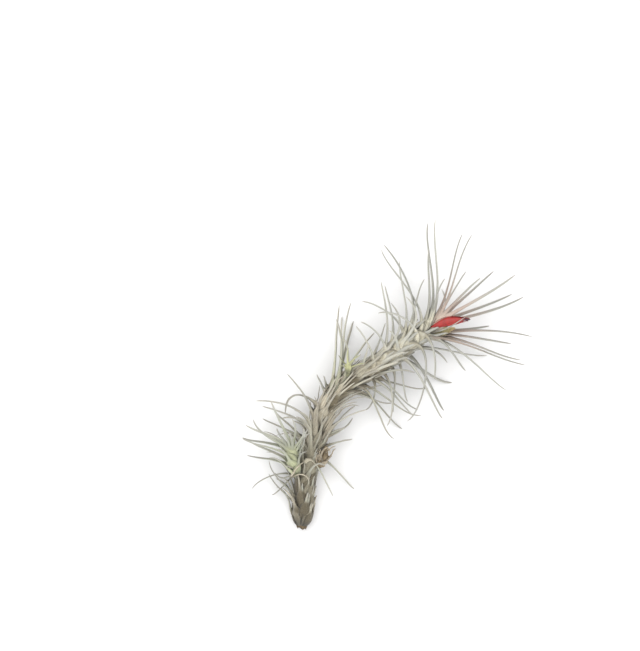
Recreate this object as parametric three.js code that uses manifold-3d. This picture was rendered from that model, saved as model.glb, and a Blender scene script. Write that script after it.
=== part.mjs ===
// Tillandsia funckiana, an air plant: one curved leafy shoot with its two offsets, the dried stub of
// an older one and one open flower, lying on a surface.
//
// Millimetres, +Z up. The surface is z = 0. +Y runs from the foot of the shoot towards its crown, and
// +X to the side on which the crown leans. Places are first written in the plan of the plant, and the
// whole group is then moved so that the middle of its box stands over the origin.

import * as THREE from 'three';
import Module from 'manifold-3d';

const wasm = await Module();
wasm.setup();

// Driving dimensions

// the middle of the plant's box, in plan
const PLAN_CENTRE = { x: 23.53, y: -17.71 };

// the woody axis of the shoot from its foot to its crown: x, y and height
const STEM_AXIS = [
  [-6.5, -72, 2.1], [-5.6, -57, 3], [-5, -52, 3.6], [-3.3, -46, 4.4], [-1, -40, 5.1],
  [-0.2, -35, 5.7], [1.5, -30, 6.2], [4.3, -25.5, 6.8], [8.5, -21, 7.4], [13.5, -17.5, 8],
  [20, -13.8, 8.6], [28, -8, 9.4], [35, -2.8, 10.2], [40, -0.6, 10.8],
];
// radius of that axis with the feet of the sheaths on it, by distance from its foot
const STEM_RADIUS = [[0, 1.7], [2.5, 2.8], [9, 3.4], [60, 3.4], [78, 3.1], [86, 2.4], [92, 1.1]];
const STEM_SIDES = 8;
const STEM_STEP = 4.2;

// the green offset at the foot and the small one in the bend
const BASE_OFFSET_AXIS = [[-7.2, -55, 5.6], [-8.6, -50.5, 8], [-9.8, -46.5, 9.6], [-10.6, -43, 10.6]];
const BASE_OFFSET_RADIUS = [[0, 1], [3, 1.9], [9, 1.7], [13, 0.7]];
const SIDE_OFFSET_AXIS = [[9.8, -18.6, 10.8], [9.9, -15.8, 12.6], [10.3, -13.4, 13.9]];
const SIDE_OFFSET_RADIUS = [[0, 0.8], [1.5, 1.2], [4, 1], [6, 0.5]];
const OFFSET_SIDES = 6;
const OFFSET_STEP = 2.6;

// a leaf: its sheath wraps the stem, then the blade tapers to its tip
const SHEATH_LENGTH = 8;
const SHEATH_RADIUS = 4;
const ROOT_DEPTH = 0.62;
const LAST_ROOT = 89;
// place along the leaf from 0 to 1, width, thickness; the shorter leaves need fewer sections
const LONG_SECTIONS = [
  [0, 1.8, 0.8], [0.16, 3, 1.25], [0.34, 1.8, 0.95], [0.55, 1.1, 0.75], [0.82, 0.8, 0.64],
  [1, 0.3, 0.3],
];
const SHORT_SECTIONS = [[0, 1.8, 0.8], [0.22, 3, 1.2], [0.5, 1.2, 0.78], [0.8, 0.8, 0.64], [1, 0.3, 0.3]];
// how far the fine point of a marked leaf runs on from the tip that is given for it
const FINE_POINT = 1;
// how low a leaf may reach: the tips of two marked ones and the foot carry the plant, and the leaves
// of the spirals stay clear of the surface
const LEAF_FLOOR = 0.08;
const SPIRAL_LEAF_FLOOR = 1.1;

// the leaves between the marked ones follow a spiral; their lift from the stem and the reach of their
// blades are given by the distance of their root from the foot
const SPIRAL_TURN = 137.5;
const STEM_SPIRAL = {
  seed: 7,
  count: 122,
  from: -3,
  to: 87.5,
  jitter: 11,
  sheath: SHEATH_LENGTH,
  wrap: SHEATH_RADIUS,
  radii: STEM_RADIUS,
  lift: [[0, 40], [20, 58], [27, 30], [34, 12], [52, 12], [60, 16], [78, 18], [88, 16]],
  reach: [[0, 9], [12, 15], [25, 12], [33, 7], [52, 8], [60, 8], [78, 9], [88, 8]],
  swing: 26,
  // from here on the marked leaves fill the two sides, as far round as this share of the radius
  marked: { from: 14, share: 0.62 },
  // at the foot the leaves of the right side, past this share of the radius, lie along the stem
  pressed: { until: 26, share: -0.2, lift: 8, reach: 4 },
  // in the crown one leaf in so many stands off the stem, the others are pressed to it
  free: { from: 54, every: 4, lift: 46, reach: 17, swing: 52 },
  // from here on no leaf of the spiral stands in front of the flower
  openFrom: 76,
};
const BASE_OFFSET_SPIRAL = {
  seed: 3,
  count: 6,
  from: 2,
  to: 8,
  jitter: 20,
  sheath: 4,
  wrap: 2.5,
  radii: BASE_OFFSET_RADIUS,
  lift: [[0, 52], [8, 34]],
  reach: [[0, 8], [8, 9]],
  swing: 10,
};
const STUB_SPIRAL = {
  seed: 5,
  count: 6,
  from: 0.6,
  to: 3.6,
  jitter: 16,
  sheath: 2.4,
  wrap: 2.3,
  radii: [[0, 1.2]],
  lift: [[0, 14]],
  reach: [[0, 3.4]],
  swing: 0,
};

// the flower: its axis, radius along it, and the bract under it
const FLOWER_AXIS = [[38.6, -0.9, 12.6], [43.4, 1.2, 14.2], [47.6, 1.8, 15.6], [52.4, 2.1, 16.8]];
const FLOWER_RADIUS = [[0, 0.8], [3, 1.4], [6.5, 1.75], [10, 1.45], [12.5, 1], [14.6, 0.35]];
const FLOWER_SIDES = 9;
const FLOWER_STEP = 1.8;
const BRACT_AXIS = [[38.4, -3.4, 11], [41.5, -2.7, 11.6], [44.4, -1.6, 12.6], [47, -0.9, 13.7]];
const BRACT_RADIUS = [[0, 0.7], [2.5, 1.35], [5.5, 1.3], [8, 0.7], [9.4, 0.3]];
const BRACT_SIDES = 7;

// the dried stub of an old offset, with one curled leaf over it
const STUB_AXIS = [[-1.3, -49.5, 6.4], [0.5, -47.3, 7.6], [1.7, -44.5, 8.4], [2.3, -42.5, 8.8]];
const STUB_RADIUS = [[0, 0.9], [1.8, 2], [4.6, 1.9], [6.4, 1.1], [7.4, 0.6]];
const STUB_SIDES = 8;

const GAP = 0.3;
const FLOOR_BOX = { width: 260, depth: 20 };

const COLOURS = {
  leafy_stem: { color: 0xa3a596, roughness: 0.82 },
  base_offset: { color: 0x9fa97c, roughness: 0.78 },
  side_offset: { color: 0xb0ba82, roughness: 0.76 },
  flower: { color: 0xcc241e, roughness: 0.5 },
  flower_bract: { color: 0xb7a468, roughness: 0.7 },
  dry_stub: { color: 0x7b6850, roughness: 0.9 },
};

// Marked leaves: the ones that stand out at the sides of the plant, each by the place where its blade
// leaves the stem, a place half way along the blade, its tip, all in plan, and the height of the tip

const FOOT_LEFT = [
  [-3.3, -30, -6, -23.7, -11, -17.5, 13], [-4.2, -34, -10, -28.6, -21.6, -26.6, 12],
  [-4.7, -36, -10, -31.9, -19.3, -28.6, 7], [-7.3, -39.4, -11.2, -34.4, -15.5, -29.8, 16],
  [-5, -35, -8.4, -32.6, -12.5, -32.5, 9], [-7.3, -39.6, -11.9, -36.6, -19.3, -33.2, 4],
  [-9.6, -59.5, -14.3, -54.2, -17.4, -48.1, 9], [-9.8, -62, -14.1, -57.5, -17.4, -53.1, 3],
  [-9.6, -53.3, -12.5, -56.1, -16.3, -59.2, 2], [-9.6, -52.8, -20, -54.3, -23.4, -57.2, 1.2],
  [-8.4, -51.6, -11.6, -53.3, -15, -52, 6], [-2.5, -27, -7.4, -24.3, -11.6, -30, 11],
  [1.2, -23, 0.4, -20.5, -0.8, -17.8, 12], [2, -21.5, 1.9, -20, 1.5, -18.3, 10],
];
const FOOT_RIGHT = [
  [4.2, -36, 8.9, -32.3, 15.3, -29.6, 11], [4.1, -37, 7.5, -32.6, 11.6, -28.8, 6],
  [3.6, -39, 7.4, -36.8, 10.8, -33.3, 4], [3.4, -38.4, 5.9, -36.8, 8.5, -35.8, 9],
  [2.9, -42.4, 6.6, -41, 10.5, -40.2, 3], [1.1, -47.6, 6.2, -51.4, 11.5, -57, 1],
  [-2.2, -48, 0.3, -51.4, 4, -59, 6],
];
const BEND_LEFT = [
  [4, -19, 5.5, -7, 6.7, 6, 12], [5.8, -18, 7.6, -8, 5.8, 1.2, 17],
  [6.2, -17, 7.5, -6, 7.7, 2.3, 0], [6.5, -15.5, 8.2, -4.5, 10.7, 7, 14],
  [5.8, -19, 8.8, -9, 11.5, 0.5, 1], [9.3, -14.5, 9.8, -9.5, 7.9, -4.5, 6],
  [10, -14.3, 13.5, -9.3, 18.5, -3.3, 5], [18.2, -12, 17, -7, 13, -1, 15],
  [22.5, -8, 20, -2.8, 15, 0.7, 14], [14.5, -13.5, 15.8, -10.5, 16.8, -7, 16],
  [18.7, -9.7, 20.9, -5, 22.5, 0, 12], [22, -8, 23.4, 2, 21.5, 14.4, 10],
  [25, -4, 25, 3.5, 22.7, 13, 16], [28.5, -1.5, 24.2, 4.2, 15.6, 8, 12],
  [32.6, -1.6, 28.5, 2.8, 21.1, 4.1, 19], [26.7, -8, 26.2, -4.5, 24.5, -2.3, 19],
];
const CROWN_LEFT = [
  [32, 0.6, 31.2, 12.7, 22.6, 27.2, 17], [35, 1.4, 28.4, 15.7, 21.9, 25.6, 12],
  [29.5, -1, 29.8, 9.5, 28.1, 21.8, 2], [31.5, 1, 33.8, 9.7, 35.8, 15.3, 20],
  [37.8, 3, 39.2, 15, 37.6, 34.7, 14], [36.5, 2.4, 38, 12, 37.7, 26, 20],
  [38.7, 3.6, 40.8, 17.2, 40, 35.7, 18], [38.8, 4.4, 40.6, 10.5, 42.8, 15.5, 22],
  [40.5, 4, 45.1, 15.2, 49.6, 31.3, 10], [41.4, 4.1, 46.5, 15.6, 52.5, 30.8, 17],
  [41.9, 5, 46, 11.5, 49.8, 17.9, 24], [42.6, 4, 48.5, 9.8, 55, 15.8, 15],
  [43.4, 4, 52, 11.2, 60, 18.4, 9], [43.6, 3, 55, 9.3, 67.1, 17.1, 14],
  [43.4, 1.6, 55, 5.9, 66.8, 10.7, 2], [44, 0.8, 57, 4.4, 70.3, 9.7, 10],
];
const CROWN_RIGHT = [
  [44, -2.5, 57, -1.8, 73.3, -3.8, 8], [43.4, -2.2, 51, -1.4, 58.5, -0.3, 6],
  [42, -3.5, 54.2, -4.3, 65.9, -6.2, 9.5], [41, -4, 54.2, -6.9, 69.4, -11.8, 10],
  [42, -4.8, 55.7, -8.4, 71.4, -13.6, 6], [34, -8.2, 46, -9, 58, -10.5, 1],
  [39, -5, 50.7, -10.4, 64.4, -22, 10], [41.2, -5, 46.2, -9.8, 49.9, -15, 18],
  [37.5, -4.8, 39.6, -9.6, 39.6, -17.5, 17], [34.5, -7.6, 35.4, -25, 31, -32.6, 11],
  [29.4, -10, 36, -16.2, 43, -29, 7], [28.5, -11.8, 35, -18.2, 42.3, -31.6, 12],
  [28, -12, 36.7, -16.1, 45.8, -19.8, 0], [19.4, -19, 29.4, -21.2, 37.3, -22, 1.3],
  [20, -17.5, 25.5, -15.8, 32, -16.4, 12], [27.5, -13.4, 29.1, -19.5, 30.5, -25.7, 9],
];
const BEND_RIGHT = [
  [20.7, -18.4, 26.5, -23.2, 33.4, -28.8, 10], [19.4, -19.6, 26.5, -24.9, 32, -30.9, 5],
  [15.9, -21.6, 26.3, -27.7, 34.7, -31.4, 3], [12.6, -24, 18.8, -26, 24, -27, 8],
  [14.2, -23.6, 22, -29.6, 28.4, -35.9, 0], [15.3, -22.4, 20.5, -30.6, 25.4, -39, 7],
  [22.3, -17.2, 25.2, -24, 23.6, -34.1, 9], [25.4, -15.8, 26.1, -23, 25.9, -29.6, 4],
  [18.6, -19.6, 19, -25, 16.4, -29, 5],
];
// the dry leaves that fill the inside of the bend
const BEND_INSIDE = [
  [3.2, -36.4, 6, -31.4, 10, -28.6, 6], [3.6, -34.5, 7, -29.6, 12.8, -28.4, 9],
  [3.8, -32.5, 8, -27.6, 14.6, -25.6, 8], [4.4, -30.5, 9.4, -25.9, 17, -23.4, 7],
  [5.4, -28.2, 10.5, -24.6, 19, -22.6, 9], [4, -31.4, 7.6, -28.4, 12, -27, 11],
  [8.8, -24.8, 13.5, -22.6, 20.5, -21.2, 8],
];
const MARKED_LEAVES = [
  FOOT_LEFT, FOOT_RIGHT, BEND_LEFT, CROWN_LEFT, CROWN_RIGHT, BEND_RIGHT, BEND_INSIDE,
].flat();
// the slim leaf that passes over the flower, from inside the crown: four places along it
const FLOWER_LEAF = [[36.5, -1.2, 11.5], [40, -2.1, 14.2], [46.2, 0.2, 18], [50.6, 3.2, 20]];

const BASE_OFFSET_LEAVES = [
  [-10.1, -42, -13.2, -34.5, -16.5, -27.1, 19], [-11.4, -43.4, -17.6, -39, -22.6, -33.3, 17],
  [-10.6, -42.4, -16.7, -38.6, -25, -35.2, 12], [-11.2, -44, -16.2, -41.6, -26.2, -39.3, 9],
  [-12, -45.2, -18, -42.4, -26, -39.6, 15], [-11.4, -47.6, -15.4, -45, -24.9, -40.3, 5],
  [-11, -49.4, -15.8, -47.4, -24.7, -45.9, 4],
  [-9.2, -42, -8.6, -37.6, -9.4, -33, 20], [-8.8, -43, -6.6, -39.4, -6, -36, 21],
  [-11, -42.6, -13.2, -39, -14.6, -36, 23], [-9.4, -43.4, -9.6, -40.4, -10.4, -37.2, 22],
  [-10, -43, -11, -40, -12.2, -37.2, 22], [-8, -44, -6.4, -40, -4.6, -36.4, 18],
  [-7.4, -45, -6.2, -42.2, -5.6, -39.6, 16],
];
const SIDE_OFFSET_LEAVES = [
  [10, -13.4, 11.4, -12, 13.4, -10.6, 15], [9.6, -13.2, 9.4, -11.2, 9.8, -8.8, 16],
  [8.8, -13.8, 7.8, -12.2, 6.8, -10.8, 17], [11.4, -14.4, 13, -13.6, 14.8, -13.2, 16],
  [10.2, -14, 11, -12.8, 12, -12.4, 20], [9, -14.8, 8, -14, 7, -14, 19],
];
const STUB_LEAF = [[0.4, -46.6, 8.6], [0.8, -43.9, 10.4], [2.3, -42.7, 10.8], [3.6, -44.8, 10]];
const STUB_SPIKE = [[1.5, -44.7, 8.4], [2.7, -43.7, 8.6], [3.9, -42.9, 8.6], [5.5, -42.1, 8.4]];

// Helpers

/** A seeded stream of numbers from 0 to 1. */
function seededDraws(seed) {
  let state = seed >>> 0;
  return () => {
    state = (state + 0x6d2b79f5) >>> 0;
    let mixed = Math.imul(state ^ (state >>> 15), state | 1);
    mixed ^= mixed + Math.imul(mixed ^ (mixed >>> 7), mixed | 61);
    return ((mixed ^ (mixed >>> 14)) >>> 0) / 4294967296;
  };
}

/** The value at a place, read from a row of [place, value] pairs with straight lines between them. */
function valueAt(pairs, place) {
  const next = pairs.findIndex(([at]) => at >= place);
  if (next === 0) return pairs[0][1];
  if (next < 0) return pairs.at(-1)[1];
  const [from, before] = pairs[next - 1];
  const [to, after] = pairs[next];
  return before + ((after - before) * (place - from)) / (to - from);
}

function vector([x, y, z]) {
  return new THREE.Vector3(x, y, z);
}

/** A closed solid through a row of rings that all have the same number of corners. */
function solidThrough(rings) {
  const corners = rings[0].length;
  const faces = [];
  for (let ring = 0; ring + 1 < rings.length; ring += 1) {
    for (let corner = 0; corner < corners; corner += 1) {
      const here = ring * corners + corner;
      const beside = ring * corners + ((corner + 1) % corners);
      faces.push(here, beside, beside + corners, here, beside + corners, here + corners);
    }
  }
  const last = (rings.length - 1) * corners;
  for (let corner = 1; corner + 1 < corners; corner += 1) {
    faces.push(0, corner + 1, corner, last, last + corner, last + corner + 1);
  }
  const points = rings.flat().flatMap((point) => point.toArray());
  return new wasm.Manifold(
    new wasm.Mesh({
      numProp: 3,
      vertProperties: new Float32Array(points),
      triVerts: new Uint32Array(faces),
    }),
  );
}

/** A smooth axis with a frame at each distance from its foot, straight on past its two ends. */
class Shoot {
  constructor(points) {
    this.curve = new THREE.CatmullRomCurve3(points.map(vector), false, 'catmullrom', 0.5);
    this.length = this.curve.getLength();
  }

  /** The point on the axis, the way along it, the way to its left and the way up from it. */
  frameAt(distance) {
    const share = THREE.MathUtils.clamp(distance / this.length, 0, 1);
    const along = this.curve.getTangentAt(share);
    const past = distance - share * this.length;
    const point = this.curve.getPointAt(share).addScaledVector(along, past);
    const left = new THREE.Vector3(0, 0, 1).cross(along).normalize();
    const up = along.clone().cross(left).normalize();
    return { point, along, left, up };
  }

  /** A point beside the axis: bearing 0 is to its left, 90 degrees straight up from it. */
  beside(distance, bearing, radius) {
    const { point, left, up } = this.frameAt(distance);
    return point
      .addScaledVector(left, radius * Math.cos(bearing))
      .addScaledVector(up, radius * Math.sin(bearing));
  }

  /** The distance from the foot at which a place in plan lies straight beside the axis. */
  distanceBeside(x, y) {
    let best = 0;
    let nearest = Infinity;
    for (let distance = 0; distance <= this.length + SHEATH_LENGTH; distance += 0.25) {
      const { point } = this.frameAt(distance);
      const away = Math.hypot(point.x - x, point.y - y);
      if (away < nearest) {
        nearest = away;
        best = distance;
      }
    }
    return best;
  }

  /** The solid of the axis itself, as round as its number of sides. */
  solid(radii, sides, step, grow = 0) {
    const steps = Math.max(3, Math.round(this.length / step));
    const rings = [];
    for (let ring = 0; ring <= steps; ring += 1) {
      const past = ring === 0 ? -grow : ring === steps ? grow : 0;
      const distance = (this.length * ring) / steps + past;
      const radius = valueAt(radii, distance) + grow;
      rings.push(
        Array.from({ length: sides }, (_, side) =>
          this.beside(distance, (2 * Math.PI * (side + 0.5)) / sides, radius),
        ),
      );
    }
    return solidThrough(rings);
  }
}

/** The one cubic curve through a leaf's root, the place where it leaves, its middle and its tip. */
function curveThrough(root, leave, middle, tip) {
  const first = root.distanceTo(leave);
  const second = first + leave.distanceTo(middle);
  const whole = second + middle.distanceTo(tip);
  const rest = [[first / whole, leave], [second / whole, middle]].map(([t, point]) => ({
    near: 3 * (1 - t) ** 2 * t,
    far: 3 * (1 - t) * t ** 2,
    point: point.clone().addScaledVector(root, -((1 - t) ** 3)).addScaledVector(tip, -(t ** 3)),
  }));
  const [a, b] = rest;
  const scale = 1 / (a.near * b.far - b.near * a.far);
  const ahead = a.point.clone().multiplyScalar(b.far * scale);
  ahead.addScaledVector(b.point, -a.far * scale);
  const behind = b.point.clone().multiplyScalar(a.near * scale);
  behind.addScaledVector(a.point, -b.near * scale);
  return new THREE.CubicBezierCurve3(root, ahead, behind, tip);
}

/** Keeps a leaf's curve from dipping below a height over the surface that the plant lies on. */
function keptOffFloor(curve, lowest) {
  for (const point of [curve.v1, curve.v2, curve.v3]) point.z = Math.max(point.z, lowest);
  return curve;
}

/** A leaf given by plan places, on a shoot, as { curve, side }: side is the way across its sheath. */
function markedLeaf(shoot, radii, sheath, wrap, [leaveX, leaveY, middleX, middleY, tipX, tipY, tipZ]) {
  const distance = shoot.distanceBeside(leaveX, leaveY);
  const { point, along, left, up } = shoot.frameAt(distance);
  const aside = (leaveX - point.x) * left.x + (leaveY - point.y) * left.y;
  const across = THREE.MathUtils.clamp(aside / wrap, -1, 1);
  const front = tipZ > point.z ? 1 : -1;
  const bearing = Math.atan2(front * Math.sqrt(1 - across ** 2), across);
  const rootAt = Math.min(distance - sheath, Math.min(shoot.length - 1, LAST_ROOT));
  const root = shoot.beside(rootAt, bearing, ROOT_DEPTH * valueAt(radii, rootAt));
  const rise = wrap * Math.sin(bearing);
  const leave = new THREE.Vector3(leaveX, leaveY, point.z + rise);
  const middleZ = THREE.MathUtils.lerp(leave.z, tipZ, 0.5) + 0.1 * (leave.z - point.z);
  const middle = new THREE.Vector3(middleX, middleY, middleZ);
  const tip = new THREE.Vector3(tipX, tipY, tipZ);
  tip.addScaledVector(tip.clone().sub(middle).normalize(), FINE_POINT);
  const outward = left.clone().multiplyScalar(Math.cos(bearing));
  outward.addScaledVector(up, Math.sin(bearing));
  return {
    curve: keptOffFloor(curveThrough(root, leave, middle, tip), LEAF_FLOOR),
    side: along.clone().cross(outward),
  };
}

/** A leaf given by four places along it, with its sheath on edge. */
function looseLeaf(points) {
  return { curve: curveThrough(...points.map(vector)), side: new THREE.Vector3(0, 0, 1) };
}

/** The leaves of one spiral on a shoot. */
function spiralLeaves(shoot, spiral) {
  const draw = seededDraws(spiral.seed);
  const leaves = [];
  for (let index = 0; index < spiral.count; index += 1) {
    const share = (index + 0.5) / spiral.count;
    const rootAt = THREE.MathUtils.lerp(spiral.from, spiral.to, share);
    const turn = index * SPIRAL_TURN + spiral.jitter * (2 * draw() - 1);
    const bearing = THREE.MathUtils.degToRad(turn);
    let lift = THREE.MathUtils.degToRad(valueAt(spiral.lift, rootAt) * (0.8 + 0.4 * draw()));
    let reach = valueAt(spiral.reach, rootAt) * (0.75 + 0.5 * draw());
    let swing = THREE.MathUtils.degToRad(spiral.swing * (0.7 + 0.6 * draw()));
    const curl = 0.35 + 0.3 * draw();
    const aside = Math.cos(bearing);
    if (spiral.marked && rootAt > spiral.marked.from && Math.abs(aside) > spiral.marked.share) continue;
    if (spiral.openFrom && rootAt > spiral.openFrom && Math.sin(bearing) > 0) continue;
    if (spiral.pressed && rootAt < spiral.pressed.until && aside < spiral.pressed.share) {
      lift = THREE.MathUtils.degToRad(spiral.pressed.lift);
      reach = spiral.pressed.reach;
    }
    if (spiral.free && rootAt > spiral.free.from && index % spiral.free.every === 0) {
      lift = THREE.MathUtils.degToRad(spiral.free.lift);
      reach = spiral.free.reach;
      swing = THREE.MathUtils.degToRad(spiral.free.swing);
    }
    // the blade swings away from straight up or down, to the side that its sheath leans to
    const blade = bearing - Math.sign(aside) * Math.sign(Math.sin(bearing)) * swing;
    const leave = shoot.beside(rootAt + spiral.sheath, bearing, spiral.wrap);
    const { along, left, up } = shoot.frameAt(rootAt + spiral.sheath);
    const outward = left.clone().multiplyScalar(Math.cos(blade)).addScaledVector(up, Math.sin(blade));
    const bladePoint = (length, angle) =>
      leave
        .clone()
        .addScaledVector(along, length * Math.cos(angle))
        .addScaledVector(outward, length * Math.sin(angle));
    const middle = bladePoint(0.5 * reach, lift * curl);
    const tip = bladePoint(reach, lift);
    const root = shoot.beside(
      Math.max(rootAt, 1),
      bearing,
      ROOT_DEPTH * valueAt(spiral.radii, rootAt),
    );
    leaves.push({
      curve: keptOffFloor(curveThrough(root, leave, middle, tip), SPIRAL_LEAF_FLOOR),
      side: left.clone().multiplyScalar(-Math.sin(bearing)).addScaledVector(up, aside),
    });
  }
  return leaves;
}

/** The solid of one leaf: a tapering three-sided awl with its flat side to the stem. */
function leafSolid({ curve, side }, sections = LONG_SECTIONS, scale = 1, grow = 0) {
  const across = side.clone();
  const rings = sections.map(([place, width, thickness]) => {
    const point = curve.getPoint(place);
    const along = curve.getTangent(place);
    across.addScaledVector(along, -across.dot(along)).normalize();
    const outward = across.clone().cross(along);
    const half = (width * scale) / 2 + grow;
    const keel = (thickness * Math.sqrt(scale)) * 0.62 + grow;
    const flat = (thickness * Math.sqrt(scale)) * 0.38 + grow;
    return [
      point.clone().addScaledVector(across, half).addScaledVector(outward, -flat),
      point.clone().addScaledVector(across, -half).addScaledVector(outward, -flat),
      point.clone().addScaledVector(outward, keel),
    ];
  });
  return solidThrough(rings);
}

function joined(solids) {
  return solids.reduce((whole, solid) => whole.add(solid));
}

/** The largest piece of a solid, which drops any scrap that a cut has left loose. */
function withoutScraps(solid) {
  const pieces = solid.decompose();
  return pieces.reduce((best, piece) => (piece.volume() > best.volume() ? piece : best));
}

/** Cuts a solid flat where it reaches below the surface that the plant lies on. */
function flatOnFloor(solid) {
  const { width, depth } = FLOOR_BOX;
  const low = [[-1, -1], [1, -1], [1, 1], [-1, 1]];
  const ring = (height) =>
    low.map(([x, y]) =>
      new THREE.Vector3(PLAN_CENTRE.x + (x * width) / 2, PLAN_CENTRE.y + (y * width) / 2, height),
    );
  return solid.subtract(solidThrough([ring(-depth), ring(0)]));
}

function meshOf(name, solid) {
  const { vertProperties, triVerts } = withoutScraps(flatOnFloor(solid)).getMesh();
  const geometry = new THREE.BufferGeometry();
  geometry.setAttribute('position', new THREE.BufferAttribute(vertProperties, 3));
  geometry.setIndex(new THREE.BufferAttribute(triVerts, 1));
  geometry.computeVertexNormals();
  const material = new THREE.MeshStandardMaterial({ ...COLOURS[name], metalness: 0 });
  const mesh = new THREE.Mesh(geometry, material);
  mesh.name = name;
  return mesh;
}

// The pieces

function baseOffset(grow = 0) {
  const shoot = new Shoot(BASE_OFFSET_AXIS);
  const leaves = BASE_OFFSET_LEAVES.map((row) => markedLeaf(shoot, BASE_OFFSET_RADIUS, 5, 2.5, row));
  return joined([
    shoot.solid(BASE_OFFSET_RADIUS, OFFSET_SIDES, OFFSET_STEP, grow),
    ...leaves.map((leaf) => leafSolid(leaf, LONG_SECTIONS, 0.9, grow)),
    ...spiralLeaves(shoot, BASE_OFFSET_SPIRAL).map((leaf) => leafSolid(leaf, SHORT_SECTIONS, 0.8, grow)),
  ]);
}

function sideOffset(grow = 0) {
  const shoot = new Shoot(SIDE_OFFSET_AXIS);
  const leaves = SIDE_OFFSET_LEAVES.map((row) => markedLeaf(shoot, SIDE_OFFSET_RADIUS, 3, 1.4, row));
  return joined([
    shoot.solid(SIDE_OFFSET_RADIUS, OFFSET_SIDES, OFFSET_STEP, grow),
    ...leaves.map((leaf) => leafSolid(leaf, SHORT_SECTIONS, 0.62, grow)),
  ]);
}

function flower(grow = 0) {
  return new Shoot(FLOWER_AXIS).solid(FLOWER_RADIUS, FLOWER_SIDES, FLOWER_STEP, grow);
}

function flowerBract(grow = 0) {
  return new Shoot(BRACT_AXIS).solid(BRACT_RADIUS, BRACT_SIDES, FLOWER_STEP, grow);
}

function dryStub(grow = 0) {
  const shoot = new Shoot(STUB_AXIS);
  return joined([
    shoot.solid(STUB_RADIUS, STUB_SIDES, FLOWER_STEP, grow),
    ...spiralLeaves(shoot, STUB_SPIRAL).map((leaf) => leafSolid(leaf, SHORT_SECTIONS, 0.8, grow)),
    leafSolid(looseLeaf(STUB_LEAF), LONG_SECTIONS, 0.6, grow),
    leafSolid(looseLeaf(STUB_SPIKE), SHORT_SECTIONS, 0.5, grow),
  ]);
}

function leafyStem() {
  const shoot = new Shoot(STEM_AXIS);
  const marked = MARKED_LEAVES.map((row) =>
    markedLeaf(shoot, STEM_RADIUS, SHEATH_LENGTH, SHEATH_RADIUS, row),
  );
  return joined([
    shoot.solid(STEM_RADIUS, STEM_SIDES, STEM_STEP),
    leafSolid(looseLeaf(FLOWER_LEAF), SHORT_SECTIONS, 0.6),
    ...marked.map((leaf) => leafSolid(leaf)),
    ...spiralLeaves(shoot, STEM_SPIRAL).map((leaf) => leafSolid(leaf, SHORT_SECTIONS)),
  ]);
}

const sockets = joined([
  baseOffset(GAP), sideOffset(GAP), flower(GAP), flowerBract(GAP), dryStub(GAP),
]);
const plant = new THREE.Group();
plant.add(
  meshOf('leafy_stem', leafyStem().subtract(sockets)),
  meshOf('base_offset', baseOffset()),
  meshOf('side_offset', sideOffset()),
  meshOf('flower', flower()),
  meshOf('flower_bract', flowerBract().subtract(flower(GAP))),
  meshOf('dry_stub', dryStub()),
);
plant.position.set(-PLAN_CENTRE.x, -PLAN_CENTRE.y, 0);

export default plant;
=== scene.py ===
# Tillandsia funckiana, an air plant in flower: the finer pieces and the finishes that dress the
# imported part. Places are written in millimetres in the plan of the plant, as in the part's source,
# and are moved to the part's frame and to metres when a mesh is made.

import logging
import math
from collections.abc import Callable, Iterator, Sequence
from dataclasses import dataclass
from enum import Enum

import bpy
import numpy as np
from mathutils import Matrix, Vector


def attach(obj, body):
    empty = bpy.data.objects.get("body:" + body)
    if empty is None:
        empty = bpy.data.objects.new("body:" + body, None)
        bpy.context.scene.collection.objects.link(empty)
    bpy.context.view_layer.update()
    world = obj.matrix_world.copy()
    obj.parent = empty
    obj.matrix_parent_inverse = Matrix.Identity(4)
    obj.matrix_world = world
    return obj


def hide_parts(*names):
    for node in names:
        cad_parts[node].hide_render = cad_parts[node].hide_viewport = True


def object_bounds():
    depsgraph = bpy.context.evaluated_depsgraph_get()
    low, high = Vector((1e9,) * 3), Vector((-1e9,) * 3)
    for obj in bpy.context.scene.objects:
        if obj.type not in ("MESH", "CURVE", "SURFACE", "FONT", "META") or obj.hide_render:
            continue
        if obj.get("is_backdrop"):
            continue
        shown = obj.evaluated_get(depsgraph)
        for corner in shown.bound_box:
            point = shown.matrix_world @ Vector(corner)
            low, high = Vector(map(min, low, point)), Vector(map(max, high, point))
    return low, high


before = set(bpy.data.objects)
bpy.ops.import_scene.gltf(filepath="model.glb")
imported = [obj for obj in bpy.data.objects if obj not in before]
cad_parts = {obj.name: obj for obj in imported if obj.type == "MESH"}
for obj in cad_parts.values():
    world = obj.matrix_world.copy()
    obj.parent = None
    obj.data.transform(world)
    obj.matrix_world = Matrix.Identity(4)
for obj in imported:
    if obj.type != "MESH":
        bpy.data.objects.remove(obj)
packed_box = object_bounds()

log = logging.getLogger("tillandsia")

Point = np.ndarray
Pairs = Sequence[tuple[float, float]]

# the middle of the plant's box, in plan, and the size of a millimetre in the frame
PLAN_CENTRE = np.array([23.53, -17.71, 0.0])
MILLIMETRE = 0.001

# the studio is lit so that its floor is white, so a colour that is seen there is darker in itself
SEEN_SHARE = 0.72


# The plant's plan: the same axes and marked leaves as the part's source

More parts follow.
